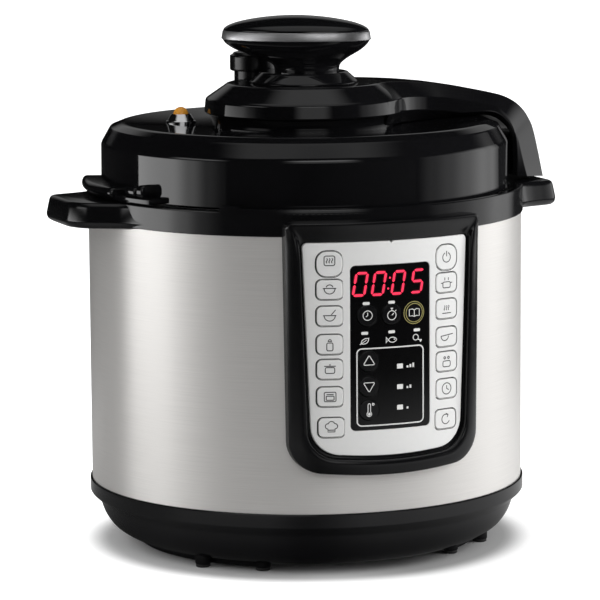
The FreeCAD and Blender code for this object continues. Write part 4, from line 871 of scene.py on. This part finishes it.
KEY_ROWS = (198.6, 182.9, 166.6, 149.1, 133.7, 116.7, 97.6)
LEFT_KEYS = ("cancel", "left_1", "left_2", "left_3", "left_4", "left_5", "left_6")
RIGHT_KEYS = ("power", "right_1", "right_2", "right_3", "right_4", "right_5", "right_6")
ROUND_KEYS = {
    "delay": (-15.6, 166.2),
    "timer": (0.0, 166.2),
    "menu": (15.2, 166.2),
    "up": (-14.8, 138.0),
    "down": (-14.8, 122.2),
    "temperature": (-14.8, 107.6),
}
ROUND_R = 6.2
SLITS = ((-16.4, 173.6), (0.0, 173.6), (-17.4, 155.3), (0.0, 155.3), (17.2, 155.3))
LEVEL_ROWS = (133.7, 120.9, 108.1)
PICTURE_Z = 150.4
DIGIT_Z = 185.6
DIGIT_HALF_W = 3.5
DIGIT_HALF_H = 6.8
DIGIT_SLANT = 0.17
SEGMENT_GAP = 0.3


def key_spots():
    """Middle of each silver key: x and height."""
    spots = {}
    for side, names in ((-1, LEFT_KEYS), (1, RIGHT_KEYS)):
        for z, name in zip(KEY_ROWS, names):
            spots[name] = (side * (LOW_KEY_X if z == KEY_ROWS[-1] else KEY_X), z)
    return spots


def key_loop(name, grow=0.0):
    tall = name in ("cancel", "power")
    w = KEY_W / 2 + grow
    h = (TALL_KEY_H if tall else KEY_H) / 2 + grow
    return rect(-w, w, -h, h, (6.0 if tall else 3.0) + grow)


def key_azimuth(x):
    return math.degrees(math.asin(x / FACE_R))


def on_face(points, x, z):
    """Points round a key's middle, as wide as the sloping face shows them from the front."""
    squeeze = math.cos(math.radians(key_azimuth(x)))
    return [(x + px * squeeze, z + py) for px, py in points]


def shifted(loop, up):
    return [(x, y + up) for x, y in loop]


def add_plate(solid, loops, low, high, edge=0.0, mark=0, az=0.0, lift=0.0):
    """Plate between two heights over the panel's face."""
    verts, faces = bent(*plate(loops, low, high, edge), az)
    solid.add([(x, y, z + lift) for x, y, z in verts], faces, mark)


def add_print(solid, loops, mark=0, ground=0.0, rise=INK, **where):
    """Printed mark on a piece that stands that much above the panel's face."""
    add_plate(solid, loops, ground - INK_ROOT, ground + rise, mark=mark, **where)


def fascia():
    """Silver plate with the window's and the keys' openings and a notch in its upper edge."""
    on_top = FACE_TOP - 0.01
    notch = [(1.2, FACE_TOP), (0.0, FACE_TOP - 1.2), (-1.2, FACE_TOP)]
    loop = [p for p in face_loop() if not (p[1] > on_top and abs(p[0]) < 2)]
    after = [i for i, p in enumerate(loop) if p[1] > on_top and p[0] > 0]
    spot = min(after, key=lambda i: loop[i][0])
    loop = loop[:spot + 1] + notch + loop[spot + 1:]
    holes = [rect(-WINDOW_HALF - 0.1, WINDOW_HALF + 0.1, WINDOW_LOW - 0.1, WINDOW_TOP + 0.1, 3.1)]
    for name, (x, z) in key_spots().items():
        holes.append(on_face(key_loop(name, KEY_GAP), x, z))
    solid = Solid()
    add_plate(solid, [loop] + holes, -FACE_T, 0.0, 0.45)
    piece("fascia_plate_sheet", solid, "housing", "fascia_silver", ["fascia_plate"], sharp=12)


def window():
    """Black window with its lamps, its frame and its small pictures."""
    mats = [MATERIALS["window_black"], MATERIALS["light_guide"], PALE_INK, GOLD_INK]
    lamp = 1
    pale = 2
    gold = 3
    solid = Solid()
    loop = rect(-WINDOW_HALF, WINDOW_HALF, WINDOW_LOW, WINDOW_TOP, 3.0)
    holes = [circle(x, z, ROUND_R + 0.25, 48) for x, z in ROUND_KEYS.values()]
    add_plate(solid, [loop] + holes, -FACE_T, 0.0, 0.3)
    for x, z in SLITS:
        add_print(solid, [rect(x - 2.2, x + 2.2, z - 0.9, z + 0.9, 0.7)], lamp)
    for row, z in enumerate(LEVEL_ROWS):
        add_print(solid, [rect(3.5, 7.5, z - 1.5, z + 1.5, 0.4)], lamp)
        for k in range(len(LEVEL_ROWS) - row):
            x = 10.0 + 2.0 * k
            add_print(solid, [rect(x, x + 1.2, z - 1.3, z + 0.7 * k)], pale)
    add_print(solid, stroke(rect(-22.3, 21.6, 97.8, 145.7, 3.0), 0.8, True), pale)
    for picture, x in ((pictogram_leaf, -17.4), (pictogram_fish, 0.0), (pictogram_meat, 17.2)):
        for loops in picture(x, PICTURE_Z):
            add_print(solid, loops, pale)
    add_print(solid, stroke(circle(*ROUND_KEYS["menu"], 6.9, 56), 0.4, True), gold)
    piece("display_window_pane", solid, "housing", "window_black", ["display_window"], mats, sharp=12)


def pictogram_leaf(x, z):
    leaf = [(x - 2.4, z - 1.5), (x - 1.6, z + 0.6), (x + 0.2, z + 1.6), (x + 2.5, z + 1.7)]
    leaf += [(x + 2.2, z - 0.2), (x + 0.9, z - 1.5), (x - 1.0, z - 1.8)]
    return [stroke(leaf, 0.5, True), stroke([(x - 3.0, z - 2.1), (x + 1.2, z + 0.7)], 0.45)]


def pictogram_fish(x, z):
    upper = arc(x + 0.6, z - 1.6, 3.2, 150, 40, 8)
    lower = arc(x + 0.6, z + 1.6, 3.2, -40, -150, 8)
    tail = [(x - 2.2, z), (x - 3.6, z + 1.5), (x - 3.6, z - 1.5)]
    return [stroke(upper + lower, 0.5, True), stroke(tail, 0.45, True), [circle(x + 1.8, z + 0.3, 0.4, 12)]]


def pictogram_meat(x, z):
    leg = circle(x - 0.8, z + 0.4, 1.8, 24)
    bone = [(x + 0.6, z - 0.7), (x + 2.6, z - 1.8)]
    return [stroke(leg, 0.5, True), stroke(bone, 0.6), [circle(x + 2.9, z - 1.5, 0.55, 12)],
            [circle(x + 2.6, z - 2.2, 0.55, 12)]]


def digit(lit, x, z, thick):
    """Slanted figure of seven segments: loops of the lit ones."""
    w = DIGIT_HALF_W
    h = DIGIT_HALF_H
    mids = {"a": (0, h, 0), "g": (0, 0, 0), "d": (0, -h, 0), "b": (w, h / 2, 1), "c": (w, -h / 2, 1),
            "e": (-w, -h / 2, 1), "f": (-w, h / 2, 1)}
    k = thick / 2
    loops = []
    for name in lit:
        mx, mz, upright = mids[name]
        run = (h / 2 if upright else w) - SEGMENT_GAP
        bar = [(-run, 0), (-run + k, -k), (run - k, -k), (run, 0), (run - k, k), (-run + k, k)]
        if upright:
            bar = [(-b, a) for a, b in bar]
        loops.append([(x + mx + a + DIGIT_SLANT * (mz + b), z + mz + b) for a, b in bar])
    return loops


def display():
    """Red figures in the window's upper part, each over a faint haze."""
    solid = Solid()
    for x, lit in ((-20.0, "abcdef"), (-8.2, "abcdef"), (4.6, "abcdef"), (17.6, "afgcd")):
        for thick, rise, mark in ((2.6, 0.5 * INK, 1), (1.35, INK, 0)):
            for loop in digit(lit, x, DIGIT_Z, thick):
                add_print(solid, [loop], mark, rise=rise)
    for up in (-3.4, 3.2):
        add_print(solid, [circle(-1.6 + DIGIT_SLANT * up, DIGIT_Z + up, 0.6, 14)])
    piece("display_figures", solid, "housing", "display_dark", mats=[RED_GLOW, RED_HAZE])


def key_art():
    """Pictures of the silver keys: closed lines and open lines, in millimetres from each key's middle."""
    pot = rect(-2.9, 2.9, -2.4, 1.2, 1.0)
    waves = [[(dx + 0.35 * math.sin(t * 1.1), 0.5 * t) for t in range(-3, 4)] for dx in (-1.6, 0.0, 1.6)]
    hat = arc(-2.2, 0.9, 1.6, 80, 270, 12) + [(-2.2, -2.6), (2.2, -2.6)] + arc(2.2, 0.9, 1.6, -90, 100, 12)
    bowl = [arc(0, 0, 3.4, 180, 360), [(-4.1, 0), (4.1, 0)]]
    bottle_top = [[(-1.3, 1.9), (1.3, 1.9)], arc(0, 2.2, 0.9, 0, 180, 8)]
    oven = [rect(-3.6, 3.6, -2.9, 2.9, 0.8), rect(-2.4, 2.4, -2.0, 0.5, 0.4)]
    handles = [[(-4.4, -0.2), (-2.9, -0.2)], [(2.9, -0.2), (4.4, -0.2)]]
    return {
        "cancel": ([rect(-3.3, 3.3, -0.9, 5.0, 1.2)], [shifted(wave, 2.1) for wave in waves]),
        "power": ([], [arc(0, 0, 3.0, 115, 425, 28), [(0, 0.6), (0, 4.0)]]),
        "left_1": ([], [shifted(line, 0.8) for line in bowl] + [arc(0, 0.8, 2.2, 20, 160, 10)]),
        "left_2": ([], [shifted(line, 0.4) for line in bowl] + [[(1.0, 0.9), (3.6, 3.8)]]),
        "left_3": ([rect(-1.9, 1.9, -3.8, 1.0, 0.9)], bottle_top),
        "left_4": ([pot], [[(-3.6, 2.0), (3.6, 2.0)], [(0, 2.1), (0, 3.4)]]),
        "left_5": (oven, [[(-2.2, 1.5), (2.2, 1.5)]]),
        "left_6": ([], [hat, arc(0, 1.8, 2.1, 20, 160, 12), [(-2.2, -1.5), (2.2, -1.5)]]),
        "right_1": ([shifted(pot, -0.8)], handles + [[(x, 1.4), (x, 3.2)] for x in (-1.4, 1.4)]),
        "right_2": ([], [shifted(wave, 0.6) for wave in waves] + [[(-3.4, -2.7), (3.4, -2.7)]]),
        "right_3": ([], [arc(-1.4, 0.6, 2.9, 180, 360, 14), [(-4.6, 0.6), (5.0, 1.6)]]),
        "right_4": ([shifted(pot, -0.9)] + [circle(x, 2.3, 0.7, 14) for x in (-1.5, 1.5)], []),
        "right_5": ([circle(0, 0, 3.5, 32)], [[(0, 2.0), (0, 0), (1.7, -1.0)]]),
        "right_6": ([], [arc(0, 0, 3.0, 60, 340, 24), [(0.4, 3.4), (1.9, 2.6), (1.2, 1.0)]]),
    }


def round_key_art():
    """Pictures of the round keys, as those of the silver ones."""
    page = [(0, -2.4), (-1.4, -1.8), (-3.5, -2.0), (-3.5, 2.1), (-1.4, 2.4), (0, 1.6)]
    pages = page + [(-x, y) for x, y in page[::-1]]
    marks = [[(-0.8, 3.7), (0.8, 3.7)], [(0, 2.4), (0, 3.7)], [(2.2, 1.8), (2.9, 2.5)]]
    tube = [[(x, -1.3), (x, 3.2)] for x in (-0.8, 0.8)] + [arc(0, 3.2, 0.8, 0, 180, 8)]
    return {
        "delay": ([circle(0, 0, 2.9, 28)], [[(0, 1.8), (0, 0), (-1.1, -0.7)]]),
        "timer": ([circle(0, -0.6, 2.8, 28)], [[(0, -0.6), (1.2, 0.7)]] + marks),
        "menu": ([], [pages, [(0, -2.2), (0, 1.4)]]),
        "up": ([outline([(-3.7, -2.4, 0.5), (3.7, -2.4, 0.5), (0, 3.6, 0.5)], 3)], []),
        "down": ([outline([(-3.7, 2.4, 0.5), (0, -3.6, 0.5), (3.7, 2.4, 0.5)], 3)], []),
        "temperature": ([circle(2.5, 3.5, 0.6, 12)], [arc(0, -2.5, 1.5, 122, 418)] + tube),
    }


def key_cap(name, slot, inks, loop, edge, spot, lines, width, others=()):
    """Key with its closed and open lines, and other loops with the numbers of their materials."""
    solid = Solid()
    where = {"az": key_azimuth(spot[0]), "lift": spot[1]}
    add_plate(solid, [loop], -FACE_T - 1.0, KEY_PROUD, edge, **where)
    closed_lines, open_lines = lines
    marks = [(stroke(points, width, True), 1) for points in closed_lines]
    marks += [(stroke(points, width), 1) for points in open_lines]
    for loops, mark in marks + list(others):
        add_print(solid, loops, mark, KEY_PROUD, **where)
    body = "key_" + name
    piece(body + "_cap", solid, body, slot, [body], [MATERIALS[slot]] + inks, sharp=12)


def silver_keys():
    art = key_art()
    for name, spot in key_spots().items():
        key_cap(name, "key_silver", [DARK_INK_AND_GAP_SHADE], key_loop(name), 0.45, spot, art[name], 0.55)


def key_gap_shade_lines():
    """Dark line round each silver key, broken on the side of the window: painted shade of the gap round the
    key, drawn as a print beside it.
    """
    solid = Solid()
    for name, (x, z) in key_spots().items():
        inward = -1 if x > 0 else 1
        loop = key_loop(name, KEY_GAP + 0.35)
        far = max(px for px, py in loop)
        top = max(py for px, py in loop)
        start = min(range(len(loop)), key=lambda i: (loop[i][0] - inward * far) ** 2 + loop[i][1] ** 2)
        run = loop[start:] + loop[:start]
        kept = [p for p in run if not (p[0] * inward > far - 0.3 and abs(p[1]) < top - 1.0)]
        # Painted shade of the gap round the key.
        add_print(solid, stroke(on_face(kept, x, z), 0.35))
    piece("key_gap_painted_shade", solid, "housing", "fascia_silver", mats=[DARK_INK_AND_GAP_SHADE])


def round_keys():
    art = round_key_art()
    bulb = ([circle(0, -2.5, 0.95, 16)], 1)
    gold_ring = (stroke(circle(0, 0, 5.7, 56), 0.4, True), 2)
    others = {"temperature": [bulb], "menu": [gold_ring]}
    loop = circle(0, 0, ROUND_R, 56)
    for name, spot in ROUND_KEYS.items():
        extra = others.get(name, ())
        key_cap(name, "key_black", [PALE_INK, GOLD_INK], loop, 0.4, spot, art[name], 0.5, extra)


def sensor_spring():
    """Coil between the sensor and its bracket."""
    low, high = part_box("sensor_spring")
    wire_r = 0.75
    coil_r = 9.5 - wire_r
    turns = 5
    count = turns * 32
    z0 = low[2] / MM + wire_r
    z1 = high[2] / MM - wire_r
    section = circle(coil_r, 0, wire_r, 10)
    rings = []
    for k in range(count + 1):
        a = TAU * turns * k / count
        z = z0 + (z1 - z0) * k / count
        rings.append([(r * math.cos(a), r * math.sin(a), z + up) for r, up in section])
    solid = Solid()
    solid.loft(rings)
    obj = piece("sensor_spring_coil", solid, "housing", "screw_steel", ["sensor_spring"])
    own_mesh(obj)


# Finishes of the CAD nodes that stay

CAD_FINISH = {
    "foot_rubber": ["rubber_feet"],
    "screw_steel": ["base_screws", "panel_screws", "lid_screws", "float_pin", "steam_pipe"],
    "liner_aluminium": ["inner_liner"],
    "pressed_steel": ["locking_ring", "sensor_bracket"],
    "pot_coating": ["inner_pot"],
    "cast_aluminium": ["heating_plate"],
    "element_steel": ["heater_element"],
    "sensor_aluminium": ["temperature_sensor"],
    "circuit_board": ["power_board", "control_board"],
    "inlet_black": ["inlet_socket"],
    "pin_brass": ["inlet_pins"],
    "black_satin": ["collector_pocket"],
    "cup_smoke": ["condensation_collector"],
    "display_dark": ["display_module"],
    "light_guide": ["indicator_lights"],
    "plate_steel": ["lid_plate", "filter_cap"],
    "silicone_white": ["sealing_gasket", "float_seal"],
}


def cad_finishes():
    for name, held_nodes in CAD_FINISH.items():
        for kept in held_nodes:
            mesh = nodes[kept].data
            mesh.materials.clear()
            mesh.materials.append(MATERIALS[name])


# Studio

CAMERA_AZ = -21.3
CAMERA_DISTANCE = 2211.159
CAMERA_HEIGHT = 482.232
CAMERA_LENS = 206.013
CAMERA_PITCH = 0.14677
CAMERA_YAW = -0.00159
CAMERA_ROLL = -0.00649


def camera():
    az = math.radians(CAMERA_AZ)
    data = bpy.data.cameras.new("camera")
    data.sensor_width = 36
    data.lens = CAMERA_LENS
    data.clip_end = 100
    obj = linked("camera", data)
    at = Vector((math.sin(az) * CAMERA_DISTANCE, -math.cos(az) * CAMERA_DISTANCE, CAMERA_HEIGHT)) * MM
    turn = Matrix.Rotation(az - CAMERA_YAW, 4, "Z")
    tilt = Matrix.Rotation(math.pi / 2 - CAMERA_PITCH, 4, "X")
    obj.matrix_world = Matrix.Translation(at) @ turn @ tilt @ Matrix.Rotation(CAMERA_ROLL, 4, "Z")
    bpy.context.scene.camera = obj


def ramp(tree, value, stops):
    """Grey level that eases from stop to stop as the value rises."""
    made = tree.nodes.new("ShaderNodeValToRGB")
    made.color_ramp.interpolation = "EASE"
    elements = made.color_ramp.elements
    while len(elements) < len(stops):
        elements.new(0.5)
    for element, (at, level) in zip(elements, stops):
        element.position = at
        element.color = (level, level, level, 1)
    tree.links.new(value, made.inputs[0])
    return made.outputs[0]


def show(mat, shader):
    """Material with that shader in place of its first one."""
    nodes_in = mat.node_tree.nodes
    nodes_in.remove(nodes_in["Principled BSDF"])
    mat.node_tree.links.new(shader, nodes_in["Material Output"].inputs["Surface"])
    return mat


def card(name, verts, mat):
    """Object of one four-cornered face."""
    mesh = bpy.data.meshes.new(name)
    mesh.from_pydata(verts, [], [(0, 1, 2, 3)])
    mesh.materials.append(mat)
    return linked(name, mesh)


def softbox(name, verts, strength, across, upward=((0.0, 1.0), (1.0, 1.0))):
    """Glowing card; the stops say how bright it is from side to side and from its lower to its upper edge."""
    mat, tree = new_material(name)
    run = node(tree, "TexCoord", out="UV")
    level_across = ramp(tree, node(tree, "SeparateXYZ", run, out="X"), across)
    level_up = ramp(tree, node(tree, "SeparateXYZ", run, out="Y"), upward)
    level = node(tree, "VectorMath", level_across, level_up, operation="MULTIPLY")
    obj = card(name, verts, show(mat, node(tree, "Emission", level, strength)))
    layer = obj.data.uv_layers.new(name="run")
    for corner, uv in zip(layer.data, ((0, 0), (1, 0), (1, 1), (0, 1))):
        corner.uv = uv
    obj.visible_camera = False
    obj.visible_shadow = False
    return obj


def around(angle, distance, z):
    """Point at an angle from the camera's side of the object, clockwise from above."""
    a = math.radians(CAMERA_AZ + angle)
    return (distance * math.sin(a), -distance * math.cos(a), z)


def wall(name, start, end, distance, low, high, strength, *stops):
    """Upright softbox between two angles and two heights, in metres."""
    corners = [around(start, distance, low), around(end, distance, low), around(end, distance, high),
               around(start, distance, high)]
    return softbox(name, corners, strength, *stops)


def lights():
    fade = [(0.0, 1.0), (0.6, 1.0), (1.0, 0.0)]
    wall("left_softbox", -102, -41, 1.3, 0.0, 0.42, 3.2,
         [(0.0, 1.0), (0.45, 1.0), (0.63, 0.45), (0.79, 0.12), (0.96, 0.03), (1.0, 0.0)], fade)
    wall("right_softbox", 62, 137, 1.6, 0.0, 0.85, 1.35,
         [(0.0, 0.0), (0.175, 0.24), (0.33, 0.46), (0.48, 0.82), (0.644, 1.1), (0.8, 0.75), (1.0, 0.2)], fade)
    soft = [(0.0, 0.0), (0.3, 1.0), (0.7, 1.0), (1.0, 0.0)]
    wall("knob_card", -82, -40, 1.5, 0.5, 0.95, 1.5, soft, soft)
    wall("front_strip", -14, 34, 1.9, 0.24, 1.35, 2.2, soft,
         [(0.0, 0.0), (0.12, 0.3), (0.55, 0.35), (0.7, 1.0), (1.0, 1.0)])
    wall("back_card", 140, 220, 3.0, 0.45, 1.7, 0.25, soft,
         [(0.0, 0.0), (0.3, 1.0), (0.55, 1.0), (1.0, 0.0)])
    over = [around(angle, reach, 1.5) for angle, reach in ((-42, 1.9), (56, 1.9), (128, 1.1), (246, 1.1))]
    softbox("top_softbox", over, 0.55, soft, [(0.0, 0.0), (0.15, 1.0), (0.85, 1.0), (1.0, 0.0)])
    fill = wall("right_fill", 55, 115, 1.8, 0.1, 1.5, 8.0, soft)
    fill.visible_glossy = False


def world():
    """White for the camera, almost dark in reflections and soft white for all other light."""
    scene_world = bpy.data.worlds.new("studio")
    bpy.context.scene.world = scene_world
    scene_world.use_nodes = True
    tree = scene_world.node_tree
    plain = tree.nodes["Background"]
    plain.inputs["Color"].default_value = (1, 1, 1, 1)
    plain.inputs["Strength"].default_value = 0.7
    dim = node(tree, "Background", None, 0.006)
    white = node(tree, "Background", None, 1.0)
    unseen = node(tree, "MixShader", node(tree, "LightPath", out="Is Glossy Ray"), plain.outputs[0], dim)
    camera_ray = node(tree, "LightPath", out="Is Camera Ray")
    through_ray = node(tree, "LightPath", out="Is Transmission Ray")
    seen = node(tree, "Math", camera_ray, through_ray, operation="MAXIMUM")
    both = node(tree, "MixShader", seen, unseen, white)
    tree.links.new(both, tree.nodes["World Output"].inputs["Surface"])


# Grey levels of the floor: by distance from the middle in metres, and from the camera's left to its right.
# Near the object the camera's glow and the glow in reflections are left out, as painted shadow over the
# floor's real shadow, and the floor's colour darkens towards the right as painted shade.
SEEN_GLOW_PAINTED_SHADOW = [(0.105, 0.0), (0.128, 0.08), (0.15, 0.8), (0.168, 1.0)]
MIRRORED_GLOW_PAINTED_SHADOW = [(0.11, 0.02), (0.2, 0.2), (0.45, 0.3), (0.95, 0.012)]
MIRRORED_SIDE = [(0.0, 0.6), (0.14, 1.3), (0.35, 1.2), (0.5, 0.4), (0.76, 1.9), (1.0, 2.6)]
MATTE_SIDE_PAINTED_SHADE = [(0.0, 1.0), (0.5, 0.65), (0.8, 0.26), (1.0, 0.3)]
FLOOR_HALF = 60.0


def floor():
    """Pale floor that runs out to white away from the object, with painted shadow round the object over its
    real shadow and painted shade towards the camera's right, and a graded glow in reflections that is dark
    near the object as painted shadow.
    """
    mat, tree = new_material("floor")
    place = node(tree, "NewGeometry", out="Position")
    far = node(tree, "VectorMath", place, out="Value", operation="LENGTH")
    unit = node(tree, "VectorMath", place, operation="NORMALIZE")
    side = node(tree, "VectorMath", unit, around(90, 0.5, 0.0), out="Value", operation="DOT_PRODUCT")
    sideways = node(tree, "Math", side, 0.5, operation="ADD")
    # Floor colour darker towards the camera's right: painted shade.
    matte_painted_shade = node(tree, "BsdfDiffuse", ramp(tree, sideways, MATTE_SIDE_PAINTED_SHADE))
    camera_ray = node(tree, "LightPath", out="Is Camera Ray")
    # The camera's glow is left out near the object: painted shadow over the floor's real shadow.
    seen = node(tree, "Emission", ramp(tree, far, SEEN_GLOW_PAINTED_SHADOW), camera_ray)
    # Glow in reflections, dark near the object: painted shadow seen in reflections.
    mirrored = node(tree, "Emission", ramp(tree, far, MIRRORED_GLOW_PAINTED_SHADOW), ramp(tree, sideways, MIRRORED_SIDE))
    glossy_ray = node(tree, "LightPath", out="Is Glossy Ray")
    both = node(tree, "MixShader", glossy_ray, node(tree, "AddShader", matte_painted_shade, seen), mirrored)
    h = FLOOR_HALF
    card("floor", [(-h, -h, 0), (h, -h, 0), (h, h, 0), (-h, h, 0)], show(mat, both))


cad_finishes()
base_bowl()
outer_shell()
collar()
lid_cover()
lid_bridge()
knob()
float_valve()
pressure_valve()
bezel()
fascia()
window()
display()
silver_keys()
key_gap_shade_lines()
round_keys()
sensor_spring()
camera()
lights()
world()
floor()
bpy.context.scene.view_settings.view_transform = "Standard"
